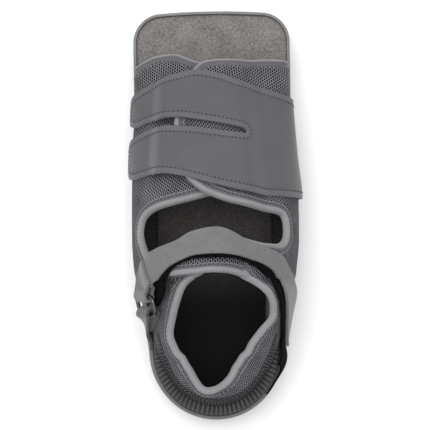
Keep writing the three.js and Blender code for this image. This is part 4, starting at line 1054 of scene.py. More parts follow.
@dataclass
class UpperHalf:
    """One half of the mesh upper with the tape that binds its free edges."""

    half: Half
    flap_columns: int = 12
    instep_columns: int = 6
    tongue_columns: int = 4
    collar_columns: int = 16
    wall_rows: int = 4
    flap_rows: int = 10
    collar_rows: int = 4
    fine_columns: int = 7
    fine_rows: int = 6
    heel_row_angle: float = 14.0
    heel_row_share: float = 0.14
    heel_radius: float = 34.0
    seam_gap: float = -0.35
    # Angles between which a half rises over the other one, at the forefoot and at the ankle.
    rise_start: Pair = (50.0, 64.0)
    rise_end: Pair = (74.0, 96.0)
    tip_corner: float = 5.0
    tip_power: float = 8.0
    edge_soft: float = 0.4
    # The bound edge, and how it is eased beside the tongue's root.
    leg_steps: int = 240
    path_step: float = 0.7
    path_soften: int = 12
    ease_passes: int = 80
    root_reach: float = 9.0
    ease_depth: float = 6.0
    ease_span: float = 3.0
    least_ease: float = 0.02
    # The heel's seams and ribs: depths in millimetres, breadths in degrees, and the runs where they begin.
    seam_depths: Pair = (0.55, 0.5)
    seam_breadth: float = 2.3
    # How far each seam goes over to the hole colour: painted shade in its groove.
    seam_shade: float = 0.85
    seam_runs: Pair = (192.0, 202.0)
    rib_runs: Pair = (196.0, 214.0)
    rib_border: Pair = (-3.0, 1.0)
    coarse_border: Pair = (-0.5, 0.5)
    seam_thread_runs: Pair = (198.0, END_RUN - 0.4)
    seam_thread_steps: int = 160
    seam_thread_turn: float = 0.9
    seam_thread_sunk: float = 0.1
    # The tape: the rows of its outer face are depth inside the edge and height over the mesh.
    tape_face: tuple[Pair, ...] = (
        (6.4, 0.1), (6.3, 0.45), (5.9, 0.5), (5.6, 0.36), (4.8, 0.34), (4.0, 0.32), (3.2, 0.3), (2.9, 0.22),
        (2.6, 0.6), (2.1, 0.98), (1.3, 1.2), (0.5, 1.15), (-0.2, 0.85), (-0.7, 0.2), (-1.0, -0.6),
    )
    tape_inner: float = 0.3
    tape_channel: Pair = (0.1, 6.4)
    tape_slack: float = 0.05
    tape_start: float = 0.75
    tape_stitch: Pair = (4.7, 0.3)
    flange_edge: Pair = (2.4, 2.9)
    toe_flange_edge: Pair = (0.2, 1.0)
    flange_fold: Pair = (5.6, 5.9)
    fold_shade: float = 0.7
    # Round the toe the tape is narrower and lies flatter, and at the heel seam its end is cut square.
    toe_runs: Pair = (12.0, 20.0)
    toe_narrow: float = 0.18
    toe_flat: float = 0.6
    square_runs: Pair = (END_RUN - 7.0, END_RUN - 1.0)

    @property
    def name(self) -> str:
        """The half's side as a word."""
        return self.half.side.name.lower()

    @property
    def skin(self) -> Skin:
        """The middle of the mesh as a function of run and angle."""
        return Skin(self.middle, float(self.half.side.value))

    def middle(self, run: Array, angle: Array) -> Array:
        """The form moved out by the mesh's lift, which grows where this half rises over the other one."""
        ankle = smooth(run, self.half.instep_start[0], self.half.instep_end[0])
        start = lerp(*self.rise_start, ankle)
        end = lerp(*self.rise_end, ankle)
        share = np.clip((angle - start) / (end - start), 0, 1)
        lift = MESH_LIFT + self.half.lift * share**2 * (3 - 2 * share)
        return FORM.over(self.half, run, angle, lift)

    def places(self, column: Array, row: Array) -> Array:
        """Run and angle of grid places in the flap, the instep, the tongue and the collar.

        Args:
            column: from the toe edge to the heel seam.
            row: from the sole up.

        Returns:
            The two parameters in the last axis. The tips of flap and tongue are rounded at their corners.
        """
        half = self.half
        start_run, start_angle = half.instep_start
        end_run, end_angle = half.instep_end
        root_run, root_angle = half.tongue_root
        wall = np.minimum(1.0, row / self.wall_rows)
        up = np.maximum(0.0, (row - self.wall_rows) / self.flap_rows)
        above = row > self.wall_rows

        def tip(share: Array, length: float) -> Array:
            """How far the tip falls back at a share of its width, as a rounded corner."""
            from_middle = np.abs(2 * np.clip(share, 0, 1) - 1)
            return length * (1 - np.sqrt(np.maximum(0.0, 1 - from_middle**self.tip_power)))

        flap_share = np.clip(column / self.flap_columns, 0, 1)
        wall_angle = lerp(FORM.foot_angle(start_run * flap_share), start_angle, wall)
        flap_angle = lerp(wall_angle, half.flap_tip(flap_share) - tip(flap_share, self.tip_corner), up)
        flap_end = np.where(above, half.flap_back(flap_angle), start_run)
        flap_run = lerp(half.flap_front(flap_angle), flap_end, flap_share)

        instep_column = self.flap_columns
        instep_share = np.clip((column - instep_column) / self.instep_columns, 0, 1)
        instep_run = lerp(start_run, end_run, instep_share)
        instep_angle = lerp(FORM.foot_angle(instep_run), half.instep(instep_run), row / self.wall_rows)

        tongue_column = instep_column + self.instep_columns
        tongue_share = np.clip((column - tongue_column) / self.tongue_columns, 0, 1)
        base_angle = lerp(end_angle, root_angle, tongue_share)
        base_run = lerp(end_run, root_run, tongue_share)
        tongue_end = half.tongue_tip - tip(tongue_share, self.tip_corner)
        high_angle = lerp(base_angle, tongue_end, up)
        high_run = lerp(half.tongue_front(high_angle), half.tongue_back(high_angle), tongue_share)
        tongue_run = np.where(above, high_run, base_run)
        tongue_angle = np.where(above, high_angle, lerp(FORM.foot_angle(base_run), base_angle, wall))

        collar_column = tongue_column + self.tongue_columns
        collar_share = np.clip((column - collar_column) / self.collar_columns, 0, 1)
        rooted = np.where(above, half.tongue_back(lerp(root_angle, half.tongue_tip, up)), root_run)
        collar_run = lerp(rooted, END_RUN - self.seam_gap, collar_share)
        level_angle = lerp(root_angle, self.heel_row_angle, smooth(collar_share, 0, self.heel_row_share))
        edge_angle = FORM.collar_angle(half, collar_run)
        collar_up = (row - self.wall_rows) / self.collar_rows
        collar_low = lerp(FORM.foot_angle(collar_run), level_angle, wall)
        collar_angle = np.where(above, lerp(level_angle, edge_angle, collar_up), collar_low)
        zones = [column <= instep_column, column < tongue_column, column <= collar_column]
        run = np.select(zones, [flap_run, instep_run, tongue_run], collar_run)
        angle = np.select(zones, [flap_angle, instep_angle, tongue_angle], collar_angle)
        return np.stack([run, angle], axis=-1)

    def edge_path(self, eased: bool = True) -> Array:
        """Run and angle along the bound edge, from the sole at the toe to the heel seam, at even steps.

        Args:
            eased: whether each place near the tongue's root is averaged with its neighbours.

        Returns:
            The two parameters of each place.
        """
        top = self.wall_rows + self.flap_rows
        rim = self.wall_rows + self.collar_rows
        instep = self.flap_columns
        tongue = instep + self.instep_columns
        collar = tongue + self.tongue_columns
        corners = [
            (0, self.tape_start), (0, top), (instep, top), (instep, self.wall_rows), (tongue, self.wall_rows),
            (tongue, top), (collar, top), (collar, rim), (collar + self.collar_columns, rim),
        ]
        share = np.linspace(0, 1, self.leg_steps)
        legs = []
        for (c0, r0), (c1, r1) in zip(corners, corners[1:]):
            row = lerp(r0, r1, share)
            if r1 == self.wall_rows and c1 == instep:
                row = np.maximum(row, self.wall_rows + TINY)
            legs.append(self.places(lerp(c0, c1, share), row)[1:])
        path = np.concatenate(legs)
        points = self.middle(path[:, 0], path[:, 1])
        lengths = running_length(points)
        even = resample(path, lengths, self.path_step, self.path_soften)
        root_at = lengths[len(path) - len(legs[-1]) - 1]
        from_root = np.linspace(0, lengths[-1], len(even)) - root_at
        near = np.exp(-((from_root / self.root_reach) ** 2))[1:-1, None]
        for _ in range(self.ease_passes if eased else 0):
            even[1:-1] += near * (even[:-2] - 2 * even[1:-1] + even[2:]) / 4
        return even

    def eased(self, place: Array) -> Array:
        """Grid places moved with the edge beside them where it is eased, less and less away from it."""
        sharp, soft = self.edge_path(eased=False), self.edge_path()
        moved = np.linalg.norm(self.middle(*soft.T) - self.middle(*sharp.T), axis=-1) > self.least_ease
        edge = self.middle(*sharp[moved].T)
        points = self.middle(place[..., 0], place[..., 1])
        close = np.linalg.norm(points - edge.mean(axis=0), axis=-1) < self.ease_span * self.root_reach
        apart = np.linalg.norm(points[close][:, None] - edge[None], axis=-1)
        share = np.exp(-((apart.min(axis=1) / self.ease_depth) ** 2))
        result = place.copy()
        result[close] += share[:, None] * (soft - sharp)[moved][apart.argmin(axis=1)]
        return result

    def sheet(self) -> tuple[Piece, float, Pair]:
        """The mesh as a grid of fine cells with the instep and the ankle left open.

        Returns:
            The piece, its area in square metres, and its flat size in metres: the longest line up the mesh
            and the line along the middle of the wall. Marks show the ribs low round the heel, the coarse ones
            among them, and the two seams, which are pressed in and darkened with painted shade.
        """
        columns = self.flap_columns + self.instep_columns + self.tongue_columns + self.collar_columns
        rows = self.wall_rows + self.flap_rows
        nc, nr = columns * self.fine_columns + 1, rows * self.fine_rows + 1
        column, row = np.meshgrid(np.linspace(0, columns, nc), np.linspace(0, rows, nr), indexing="ij")
        run, angle = np.moveaxis(self.eased(self.places(column, row)), -1, 0)
        points = self.middle(run, angle)
        c, r = (column[:-1, :-1] + column[1:, 1:]) / 2, (row[:-1, :-1] + row[1:, 1:]) / 2
        instep = self.flap_columns
        tongue = instep + self.instep_columns
        collar = tongue + self.tongue_columns
        keep = (r < self.wall_rows) | (c < instep)
        keep |= (c > tongue) & ((c < collar) | (r < self.wall_rows + self.collar_rows))
        keep &= np.linalg.norm(points[1:, 1:] - points[:-1, :-1], axis=-1) > LEAST_FACE
        area = sheet_area(points, keep)
        rises = np.linalg.norm(np.diff(points, axis=1), axis=-1)[:-1]
        height = float(np.where(keep, rises, 0.0).sum(axis=1).max()) * MM
        length = float(running_length(points[:, self.wall_rows * self.fine_rows // 2])[-1]) * MM
        normal = self.skin.normal(run, angle)
        pressed = np.zeros(run.shape)
        high_seam, low_seam = HEEL_SEAM_HIGH(run), HEEL_SEAM_LOW(run)
        for seam, depth in zip((high_seam, low_seam), self.seam_depths):
            line = smooth(run, *self.seam_runs) * np.exp(-(((angle - seam) / self.seam_breadth) ** 2))
            points = points - normal * (depth * line)[..., None]
            # Painted shade along each pressed seam, kept as a mark for the mesh's finish.
            pressed = np.maximum(pressed, self.seam_shade * line)
        rise = np.linalg.norm(np.diff(points, axis=1), axis=-1)
        over = np.concatenate([np.zeros((nc, 1)), np.cumsum(rise, axis=1)], axis=1)
        along = np.minimum(run, TURN_RUN) + np.maximum(0, run - TURN_RUN) * self.heel_radius / HEEL_RADIUS
        ribbed = smooth(run, *self.rib_runs) * (1 - smooth(angle - high_seam, *self.rib_border))
        coarse = 1 - smooth(angle - low_seam, *self.coarse_border)
        faces = grid_faces(nc, nr, keep)
        uv = np.stack([along * self.half.side.value, over], axis=-1)
        piece = Piece(
            f"{self.name}_upper_mesh",
            points.reshape(-1, 3),
            (faces if self.half.side is Side.LEFT else faces[:, ::-1]).tolist(),
            uv.reshape(-1, 2),
            {"ribbed": ribbed.ravel(), "coarse": coarse.ravel(), "seam": pressed.ravel()},
        )
        return piece, area, (height, length)

    def tape(self, path: Array) -> Piece:
        """The binding: a rolled edge with a flat stitched flange, carried along the bound edge.

        Args:
            path: run and angle along the edge.

        Returns:
            The piece. Each point is the surface at a depth inside the edge, moved out by its height.
        """
        half_mesh = MESH_THICKNESS / 2
        upper = [(depth, half_mesh + height) for depth, height in self.tape_face]
        lower = [(depth, -half_mesh - self.tape_inner * (top - half_mesh)) for depth, top in upper[::-1]]
        edge, end = self.tape_channel
        face = half_mesh + self.tape_slack
        profile = np.array([*upper, *lower, (end, -face), (edge, -face), (edge, face), (end, face)])
        at_toe = 1 - smooth(path[:, 0], *self.toe_runs)
        narrow = 1 - self.toe_narrow * at_toe
        depths = profile[:, 0]
        proud = np.sign(profile[:, 1]) * np.maximum(0, np.abs(profile[:, 1]) - half_mesh)
        heights = profile[None, :, 1] - self.toe_flat * at_toe[:, None] * proud[None, :]
        skin = self.skin
        spots = skin.inset(path, depths, float(self.half.side.value))
        spots = path[:, None, :] + (spots - path[:, None, :]) * narrow[:, None, None]
        squared = smooth(path[:, 0], *self.square_runs)[:, None]
        spots[..., 0] = lerp(spots[..., 0], path[:, :1], squared)
        normal = skin.normal(spots[..., 0], spots[..., 1])
        points = self.middle(spots[..., 0], spots[..., 1]) + normal * heights[..., None]
        rings, sides = points.shape[:2]
        faces = ring_faces(rings, sides).tolist()
        faces += [list(range(sides)), list(range((rings - 1) * sides, rings * sides))[::-1]]
        length = running_length(self.middle(path[:, 0], path[:, 1]))
        breadth = running_length(profile)
        uv = np.stack(np.broadcast_arrays(length[:, None], breadth[None, :]), axis=-1)
        fold = 1 - self.fold_shade * smooth(depths, *self.flange_fold)
        flange, flat = (smooth(depths, *ends) * fold for ends in (self.flange_edge, self.toe_flange_edge))
        border = lerp(flange[None, :], flat[None, :], at_toe[:, None])
        return Piece(
            f"{self.name}_edge_tape", points.reshape(-1, 3), faces, uv.reshape(-1, 2),
            {"border": border.ravel()}, sharp_angle=TAPE_SHARP_ANGLE,
        )

    def stitch_line(self, path: Array, depth: float, height: float) -> tuple[Array, Array]:
        """Points and outward directions of a row of stitches beside the bound edge."""
        skin = self.skin
        spots = skin.inset(path, np.array([depth]), float(self.half.side.value))[:, 0]
        normal = skin.normal(spots[:, 0], spots[:, 1])
        return self.middle(spots[:, 0], spots[:, 1]) + normal * height, normal

    def seam_line(self, seam: Curve, offset: float) -> tuple[Array, Array]:
        """Points and outward directions along a seam round the heel, moved up the form by an angle."""
        run = np.linspace(*self.seam_thread_runs, self.seam_thread_steps)
        angle = seam(run) + offset
        normal = self.skin.normal(run, angle)
        return self.middle(run, angle) + normal * (MESH_THICKNESS / 2 - self.seam_thread_sunk), normal

    def build(self, materials: dict, threads: list[tuple[Array, Array]]) -> None:
        """Builds and dresses the mesh and its tape, and adds their stitch lines to the threads."""
        piece, area, flat = self.sheet()
        mesh = piece.build()
        thicken(mesh, MESH_THICKNESS, self.edge_soft)
        mesh.modifiers["thickness"].material_offset = 1
        dress(mesh, materials[AIR_MESH], "air_mesh", f"{self.name}_upper")
        mesh.data.materials.append(materials[RIBBED_LINING])
        path = self.edge_path()
        tape = self.tape(path).build()
        dress(tape, materials[BINDING_TAPE], "binding_tape", f"{self.name}_binding")
        depth, height = self.tape_stitch
        threads.append(self.stitch_line(path, depth, MESH_THICKNESS / 2 + height))
        for turn in (self.seam_thread_turn, -self.seam_thread_turn):
            threads.append(self.seam_line(HEEL_SEAM_HIGH, turn))


@dataclass
class ForefootStrap:
    """The strap over the forefoot, slit from its left end into two round-ended tongues."""

    left: float = 2.0
    slit_end: float = 113.0
    right: float = 197.0
    corner_turn: float = 20.0
    corner_power: float = 3.0
    slit_round: float = 3.2
    # Angles between which the strap climbs on to the overlapped flaps, and comes down from them.
    climb: Pair = (38.0, 58.0)
    descent: Pair = (107.0, 131.0)
    border: float = 4.2
    border_fade: Pair = (-0.8, 0.2)
    border_slack: float = 0.35
    groove: float = 0.3
    groove_breadth: float = 0.8
    edge_soft: float = 0.5
    thread_sunk: float = 0.12
    path_step: float = 0.8
    outline_soften: int = 2
    seam_soften: int = 3
    columns_left: int = 120
    columns_right: int = 80
    crowding: float = 1.15
    rows: int = 40

    @property
    def skin(self) -> Skin:
        """The middle of the strap as a function of run and angle across."""
        return Skin(self.middle, -1.0)

    def middle(self, run: Array, across: Array) -> Array:
        """The form moved out by the strap's lift, which is higher over the overlapped flaps."""
        rise = smooth(across, *self.climb) * (1 - smooth(across, *self.descent))
        return FORM.across(run, across, lerp(FOREFOOT_LOW, FOREFOOT_HIGH, rise))

    def slit(self, across: Array) -> tuple[Array, Array]:
        """Runs of the slit's two edges: a gap round a middle line that closes as a half circle at its end."""
        _, front, back, _ = FOREFOOT_EDGES
        line = (front(across) + back(across)) / 2
        left_over = np.clip((self.slit_end - across) / self.slit_round, 0, 1)
        gap = (back(across) - front(across)) / 2 * np.sqrt(1 - (1 - left_over) ** 2)
        return line - gap, line + gap

    def tongue(self, back: bool) -> tuple[Array, Array]:
        """Runs and angles of the grid of one tongue and the strap beyond it, with a rounded end."""
        front_edge, _, _, back_edge = FOREFOOT_EDGES
        share = np.linspace(0, 1, self.rows + 1)[None, :]
        from_middle = np.abs(2 * share - 1)
        start = self.left + self.corner_turn * (1 - np.sqrt(1 - from_middle**self.corner_power))
        first = 1 - (1 - np.linspace(0, 1, self.columns_left + 1)[:, None]) ** self.crowding
        second = np.linspace(0, 1, self.columns_right + 1)[1:, None]
        beyond = lerp(self.slit_end, self.right, second) + 0 * share
        across = np.concatenate([lerp(start, self.slit_end, first), beyond])
        slit_front, slit_back = self.slit(across)
        low, high = (slit_back, back_edge(across)) if back else (front_edge(across), slit_front)
        return lerp(low, high, share), across

    def flat_size(self) -> Pair:
        """The strap's width from front to back and length across, in metres, each along its longest line."""
        front_edge, _, _, back_edge = FOREFOOT_EDGES
        across = np.linspace(self.left, self.right, self.columns_left + 1)[:, None]
        share = np.linspace(0, 1, self.rows + 1)[None, :]
        grid = self.middle(lerp(front_edge(across), back_edge(across), share), across + 0 * share)
        width, length = (np.linalg.norm(np.diff(grid, axis=k), axis=-1).sum(axis=k).max() for k in (1, 0))
        return float(width) * MM, float(length) * MM

    def outline(self) -> Array:
        """Run and angle round the free edge: front edge, upper tongue, slit, lower tongue, back edge."""
        run_a, across_a = self.tongue(False)
        run_b, across_b = self.tongue(True)
        n = self.columns_left
        upper = [(run_a[::-1, 0], across_a[::-1, 0]), (run_a[0, 1:], across_a[0, 1:])]
        slit = [(run_a[1 : n + 1, -1], across_a[1 : n + 1, -1])]
        slit += [(run_b[:n, 0][::-1], across_b[:n, 0][::-1])]
        lower = [(run_b[0, 1:], across_b[0, 1:]), (run_b[1:, -1], across_b[1:, -1])]
        run, across = (np.concatenate([leg[k] for leg in upper + slit + lower]) for k in (0, 1))
        path = np.stack([run, across], axis=-1)
        lengths = running_length(self.middle(run, across))
        kept = np.concatenate([[True], np.diff(lengths) > TINY])
        return resample(path[kept], lengths[kept], self.path_step, self.outline_soften)

    def stitch_line(self, outline: Array) -> Array:
        """Run and angle along the stitches: the outline moved inwards, evened out where it turns."""
        spots = self.skin.inset(outline, np.array([self.border]), 1.0)[:, 0]
        apart = nearest(self.middle(*spots.T), self.middle(*outline.T))
        spots = spots[apart > self.border - self.border_slack]
        return resample(spots, running_length(self.middle(*spots.T)), self.path_step, self.seam_soften)

    def build(self, materials: dict, threads: list[tuple[Array, Array]]) -> None:
        """Builds and dresses the strap, and adds its stitch line to the threads."""
        outline = self.outline()
        line = self.stitch_line(outline)
        edge, seam = self.middle(*outline.T), self.middle(*line.T)
        points, faces, uvs, borders, area, start = [], [], [], [], 0.0, 0
        for back in (False, True):
            run, across = self.tongue(back)
            grid = self.middle(run, across)
            area += sheet_area(grid)
            flat = grid.reshape(-1, 3)
            sunk = self.groove * np.exp(-((nearest(flat, seam) / self.groove_breadth) ** 2))
            normal = self.skin.normal(run, across).reshape(-1, 3)
            points.append(flat - normal * sunk[:, None])
            girth = np.cumsum(np.linalg.norm(np.diff(grid, axis=0, prepend=grid[:1]), axis=-1), axis=0)
            uvs.append(np.stack([girth.ravel(), run.ravel()], axis=-1))
            borders.append(1 - smooth(nearest(flat, edge) - self.border, *self.border_fade))
            faces += (grid_faces(*run.shape) + start).tolist()
            start += run.size
        marks = {"border": np.concatenate(borders)}
        strap = Piece(
            "forefoot_strap_cloth", np.concatenate(points), faces, np.concatenate(uvs), marks
        ).build()
        weld(strap)
        thicken(strap, STRAP_THICKNESS, self.edge_soft)
        dress(strap, materials[STRAP_CLOTH], "strap_cloth", "forefoot_strap")
        self.flat_size()
        normal = self.skin.normal(line[:, 0], line[:, 1])
        threads.append((seam + normal * (STRAP_THICKNESS / 2 - self.thread_sunk), normal))


@dataclass
class Ribbon:
    """A strap given by its two edges, row by row, read at a share of its width from front to back."""

    rows: tuple[tuple[float, ...], ...]

    def __post_init__(self) -> None:
        """Makes a curve of each column."""
        self.edges = curves(*self.rows)

    def place(self, row: Array, share: Array) -> tuple[Array, Array]:
        """Run and angle across at a row and a share of the width."""
        front_run, front_across, back_run, back_across = self.edges
        return (
            lerp(front_run(row), back_run(row), share),
            lerp(front_across(row), back_across(row), share),
        )


@dataclass
class AnkleClosure:
    """The lined ankle strap, the ring that it doubles back through, and the tab that holds the ring."""

    ring_row: float = 14.0
    ring_length: float = 12.5
    ring_stand_off: float = 1.0
    ring_aim_lift: float = 10.0
    ring_margin: float = 0.28
    ring_corner: float = 3.4
    ring_aim_row: float = 2.0
    settle_rows: float = 1.0
    row_pitch: float = 8.5
    return_rows: float = 2.1
    lining_front: float = -0.08
    tab_slack: float = 1.4
    tab_inner_rows: float = 0.6
    edge_soft_share: float = 0.22
    # Angles and runs between which the lining climbs over the tongues and their tapes.
    climb: Pair = (36.0, 53.0)
    descent: Pair = (92.0, 116.0)
    climb_end: Pair = (164.0, 180.0)
    # Angles and runs between which it lies closer to the mesh on each side, by a share of the tape's height.
    left_side: Pair = (34.0, 54.0)
    left_runs: Pair = (154.0, 168.0)
    right_side: Pair = (142.0, 160.0)
    right_runs: Pair = (148.0, 164.0)
    side_drop: float = 0.8
    # Angles and runs between which its tail stands off the heel.
    flare_side: Pair = (158.0, 186.0)
    flare_start: Pair = (199.0, 214.0)
    flare_end: Pair = (215.0, 234.0)
    # Points of the grids, along and across.
    strap_steps: int = 170
    lining_steps: int = 200
    strap_columns: int = 29
    loop_steps: int = 18
    return_steps: int = 26
    tab_steps: int = 50
    tab_inner_steps: int = 20
    tab_columns: int = 25
    corner_steps: int = 12
    wire_sides: int = 20
    # How much wider than its mean width each strap is declared.
    flat_margin: float = 1.02

    def __post_init__(self) -> None:
        """Reads the tables."""
        self.strap = Ribbon(ANKLE_ROWS)
        self.lining = Ribbon((LINING_TAIL_ROW, *ANKLE_ROWS, LINING_HEAD_ROW))
        self.tab = Ribbon(RING_TAB_ROWS)
        self.lining_back = Curve(*LINING_BACK)

    def lining_lift(self, run: Array, across: Array) -> Array:
        """Height of the lining: up over the tongues and tapes, and close to the mesh beside the heel."""
        rise = smooth(across, *self.climb) * (1 - smooth(across, *self.descent))
        rise = rise * (1 - smooth(run, *self.climb_end))
        left = (1 - smooth(across, *self.left_side)) * smooth(run, *self.left_runs)
        right = smooth(across, *self.right_side) * smooth(run, *self.right_runs)
        flare = smooth(run, *self.flare_start) * (1 - smooth(run, *self.flare_end))
        flare = smooth(across, *self.flare_side) * flare
        drop = (left + right) * self.side_drop * TAPE_STACK
        return lerp(LINING_LOW, LINING_HIGH, rise) - drop + TAIL_FLARE * flare

    def over_lining(self, row: Array, share: Array) -> Array:
        """The strap's middle where it lies over the lining."""
        run, across = self.strap.place(row, share)
        return FORM.across(run, across, self.lining_lift(run, across) + STRAP_OVER_LINING)

    def ring_frame(self) -> tuple[Callable[[Array], Array], Array, Array, Array]:
        """The ring's front bar, and its directions.

        Returns:
            The bar as a function of the share of its width, the direction along it, the heading from the
            strap on towards the tab, and the direction out from the foot.
        """
        share = np.array([0.0, 1.0])
        run, across = self.strap.place(np.full(2, self.ring_row), share)
        lift = self.lining_lift(run, across) + STRAP_OVER_LINING + BAR_OVER_STRAP + self.ring_stand_off
        first, last = FORM.across(run, across, lift)
        along = unit(last - first)
        middle = self.tab.place(np.array(self.ring_aim_row), np.array(0.5))
        anchor = FORM.across(*middle, TAB_LIFT + self.ring_aim_lift)
        heading = anchor - (first + last) / 2
        heading = unit(heading - along * heading.dot(along))
        outward = unit(np.cross(heading, along))

        def bar(at: Array) -> Array:
            """A place on the front bar."""
            return lerp(first, last, np.asarray(at, float)[..., None])

        return bar, along, heading, outward

    def strap_grid(self) -> Array:
        """The strap: out to the ring's front bar, half a circle round it, and back over itself."""
        bar, _, heading, outward = self.ring_frame()
        share = np.linspace(0, 1, self.strap_columns)[None, :]

        def out_to(row: Array) -> Array:
            """The strap on its way out: it leaves the form over its last rows, to meet the bar squarely."""
            away = (self.ring_row - row)[..., None] * self.row_pitch
            square = bar(share) - outward * BAR_OVER_STRAP - heading * away
            settle = smooth(row, self.ring_row - self.settle_rows, self.ring_row)[..., None]
            return lerp(self.over_lining(row, share), square, settle)

        out = out_to(np.linspace(0, self.ring_row, self.strap_steps)[:, None])
        turn = np.linspace(0, math.pi, self.loop_steps)[1:-1, None, None]
        loop = bar(share) + BAR_OVER_STRAP * (heading * np.sin(turn) - outward * np.cos(turn))
        back = np.linspace(0, 1, self.return_steps)[:, None]
        extra = lerp(2 * BAR_OVER_STRAP, STRAP_THICKNESS + LAYER_GAP, smooth(back, 0, 1))
        home = out_to(self.ring_row - self.return_rows * back) + outward * extra[..., None]
        return np.concatenate([out, loop, home])

    def lining_grid(self) -> Array:
        """The lining: under the strap with a margin behind it, and a sewn tail by the heel."""
        row = np.linspace(LINING_TAIL_ROW[0], LINING_HEAD_ROW[0], self.lining_steps)[:, None]
        share = np.linspace(0, 1, self.strap_columns)[None, :]
        past_strap = np.maximum(0, np.maximum(-row, row - self.ring_row))
        spread = lerp(lerp(self.lining_front, self.lining_back(row), share), share, past_strap)
        run, across = self.lining.place(row, spread)
        return FORM.across(run, across, self.lining_lift(run, across))

    def tab_grid(self) -> Array:
        """The tab: up from its sewn end to the ring's back bar, half a circle round it, and behind itself."""
        bar, _, heading, outward = self.ring_frame()
        share = np.linspace(0, 1, self.tab_columns)[None, :]
        radius = BAR_OVER_STRAP + self.tab_slack
        back_bar = bar(share) + heading * self.ring_length

        def settled(row: Array, layer: Array) -> Array:
            """The tab where it lies on the upper."""
            run, across = self.tab.place(row, share)
            return FORM.across(run, across, TAB_LIFT + layer + 0 * run)

        outer_row = np.linspace(len(RING_TAB_ROWS) - 1, 0, self.tab_steps)[:-1, None]
        layer = (STRAP_THICKNESS + LAYER_GAP) * (1 - smooth(outer_row, 1, 2))
        settle = smooth(outer_row, 0, 1)[..., None]
        outer = lerp(back_bar + outward * radius, settled(outer_row, layer), settle)
        turn = np.linspace(0, math.pi, self.loop_steps)[:, None, None]
        loop = back_bar + radius * (outward * np.cos(turn) - heading * np.sin(turn))
        inner_row = np.linspace(0, self.tab_inner_rows, self.tab_inner_steps)[1:, None]
        settle = smooth(inner_row, 0, self.tab_inner_rows)[..., None]
        inner = lerp(back_bar - outward * radius, settled(inner_row, np.zeros(1)), settle)
        return np.concatenate([outer, loop, inner])

    def ring(self) -> Piece:
        """The ring: a circle of wire carried round a rectangle with rounded corners."""
        bar, along, heading, outward = self.ring_frame()
        first, last = bar(np.array([0.0, 1.0]))
        span = np.linalg.norm(last - first)
        centre = (first + last) / 2 + heading * self.ring_length / 2
        half_long = span * (0.5 + self.ring_margin) - self.ring_corner
        half_short = self.ring_length / 2 - self.ring_corner
        turn = (np.arange(4)[:, None] + np.linspace(0, 1, self.corner_steps)[None, :]).ravel() * math.pi / 2
        out = along * np.cos(turn)[:, None] + heading * np.sin(turn)[:, None]
        sideways = np.repeat([1, -1, -1, 1], self.corner_steps)[:, None] * half_long
        onwards = np.repeat([1, 1, -1, -1], self.corner_steps)[:, None] * half_short
        middle = centre + along * sideways + heading * onwards + out * self.ring_corner
        angle = -np.arange(self.wire_sides) * 2 * math.pi / self.wire_sides
        wire = out[:, None] * np.cos(angle)[None, :, None] + outward * np.sin(angle)[None, :, None]
        points = middle[:, None] + wire * RING_WIRE / 2
        faces = ring_faces(len(middle), self.wire_sides, closed=True)[:, ::-1]
        return Piece("ring_wire", points.reshape(-1, 3), faces.tolist())

    @staticmethod
    def strip(name: str, grid: Array) -> Piece:
        """A strap's grid as a piece, with its length and width as cloth coordinates."""
        middle = grid.shape[1] // 2
        length = running_length(grid[:, middle])
        width = running_length(grid[grid.shape[0] // 2])
        uv = np.stack(np.broadcast_arrays(length[:, None], width[None, :]), axis=-1)
        marks = {"border": np.zeros(length.size * width.size)}
        faces = grid_faces(*grid.shape[:2]).tolist()
        return Piece(name, grid.reshape(-1, 3), faces, uv.reshape(-1, 2), marks)

    def build(self, materials: dict) -> None:
        """Builds and dresses the four pieces."""
        lining, strap, tab = self.lining_grid(), self.strap_grid(), self.tab_grid()
        parts = [
            ("lining_foam", "strap_lining", lining, LINING_THICKNESS, BLACK_LINING, "black_lining"),
            ("ankle_strap_pile", "ankle_strap", strap, STRAP_THICKNESS, LOOP_PILE, "loop_felt"),
            ("ring_tab_cloth", "ring_tab", tab, STRAP_THICKNESS, TAB_CLOTH, "strap_cloth"),
        ]
        for name, node, grid, thickness, finish, slot in parts:
            made = self.strip(name, grid).build()
            thicken(made, thickness, thickness * self.edge_soft_share)
            dress(made, materials[finish], slot, node)
        dress(self.ring().build(), materials[RING_STEEL], "ring_metal", "ring")


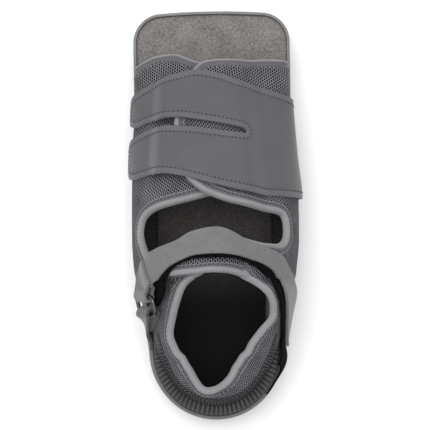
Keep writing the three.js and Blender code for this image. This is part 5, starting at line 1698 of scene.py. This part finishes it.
@dataclass
class Studio:
    """The pale floor, the soft light and the camera nearly straight above the shoe."""

    elevation: float = 84.0
    roll: float = 0.9
    distance: float = 1600.0
    target: tuple[float, float, float] = (0.57, -0.23, 25.0)
    frame_width: float = 305.7
    sensor: float = 36.0
    clip_end: float = 10.0
    floor_side: float = 6000.0
    floor_height: float = -0.05
    sky: float = 0.62
    # Columns: name, watts, side in metres, place in metres.
    lamps: tuple[tuple[str, float, float, tuple[float, float, float]], ...] = (
        ("overhead", 58.0, 2.4, (-0.1, 0.1, 2.0)),
        ("key", 7.0, 1.6, (-0.5, 0.6, 1.5)),
    )

    def camera(self) -> None:
        """Sets the camera: over the heel side, with the toe at the top of the picture."""
        lens = bpy.data.cameras.new("camera")
        lens.sensor_width = self.sensor
        lens.lens = self.sensor * self.distance / self.frame_width
        lens.clip_end = self.clip_end
        made = bpy.data.objects.new("camera", lens)
        rise = math.radians(self.elevation)
        back = Vector((0.0, -math.cos(rise), math.sin(rise)))
        made.location = (Vector(self.target) + back * self.distance) * MM
        made.rotation_mode = "QUATERNION"
        turn = Quaternion((0.0, 0.0, 1.0), -math.radians(self.roll))
        made.rotation_quaternion = (-back).to_track_quat("-Z", "Y") @ turn
        bpy.context.scene.collection.objects.link(made)
        bpy.context.scene.camera = made

    @staticmethod
    def lamp(name: str, power: float, size: float, place: tuple[float, float, float]) -> None:
        """Adds a square lamp that faces the shoe.

        Args:
            name: the lamp's name.
            power: in watts.
            size: of its side, in metres.
            place: where it stands, in metres.
        """
        light = bpy.data.lights.new(name, "AREA")
        light.energy = power
        light.size = size
        made = bpy.data.objects.new(name, light)
        made.location = place
        made.rotation_mode = "QUATERNION"
        made.rotation_quaternion = (-Vector(place)).to_track_quat("-Z", "Y")
        bpy.context.scene.collection.objects.link(made)

    def build(self, floor: bpy.types.Material) -> None:
        """Builds the floor, the light and the camera."""
        signs = np.array([(-1, -1), (1, -1), (1, 1), (-1, 1)])
        corners = np.column_stack([signs * self.floor_side / 2, np.full(4, self.floor_height)])
        ground = Piece("studio_floor", corners, [[0, 1, 2, 3]]).build()
        ground.data.materials.append(floor)
        world = bpy.data.worlds.new("studio")
        world.use_nodes = True
        sky = world.node_tree.nodes["Background"].inputs
        sky["Color"].default_value = to_linear("#ffffff")
        sky["Strength"].default_value = self.sky
        bpy.context.scene.world = world
        for lamp in self.lamps:
            self.lamp(*lamp)
        bpy.context.scene.view_settings.view_transform = "Standard"
        self.camera()


def main() -> None:
    """Builds the shoe piece by piece, then the studio."""
    logging.basicConfig(level=logging.INFO, format="%(name)s: %(message)s")
    finishes = [SOLE_FOAM, FOOTBED_FELT, AIR_MESH, BINDING_TAPE, STRAP_CLOTH, LOOP_PILE, BLACK_LINING]
    finishes += [RING_STEEL, RIBBED_LINING, TAB_CLOTH, THREAD]
    materials = {finish: finish.material() for finish in finishes}
    threads: list[tuple[Array, Array]] = []
    SoleUnit().build(materials)
    UpperHalf(LEFT_HALF).build(materials, threads)
    UpperHalf(RIGHT_HALF).build(materials, threads)
    ForefootStrap().build(materials, threads)
    AnkleClosure().build(materials)
    stitches = StitchRow().piece("sewing_thread", threads).build()
    dress(stitches, materials[THREAD], "strap_cloth")
    Studio().build(FLOOR.material())


if __name__ == "__main__":
    main()
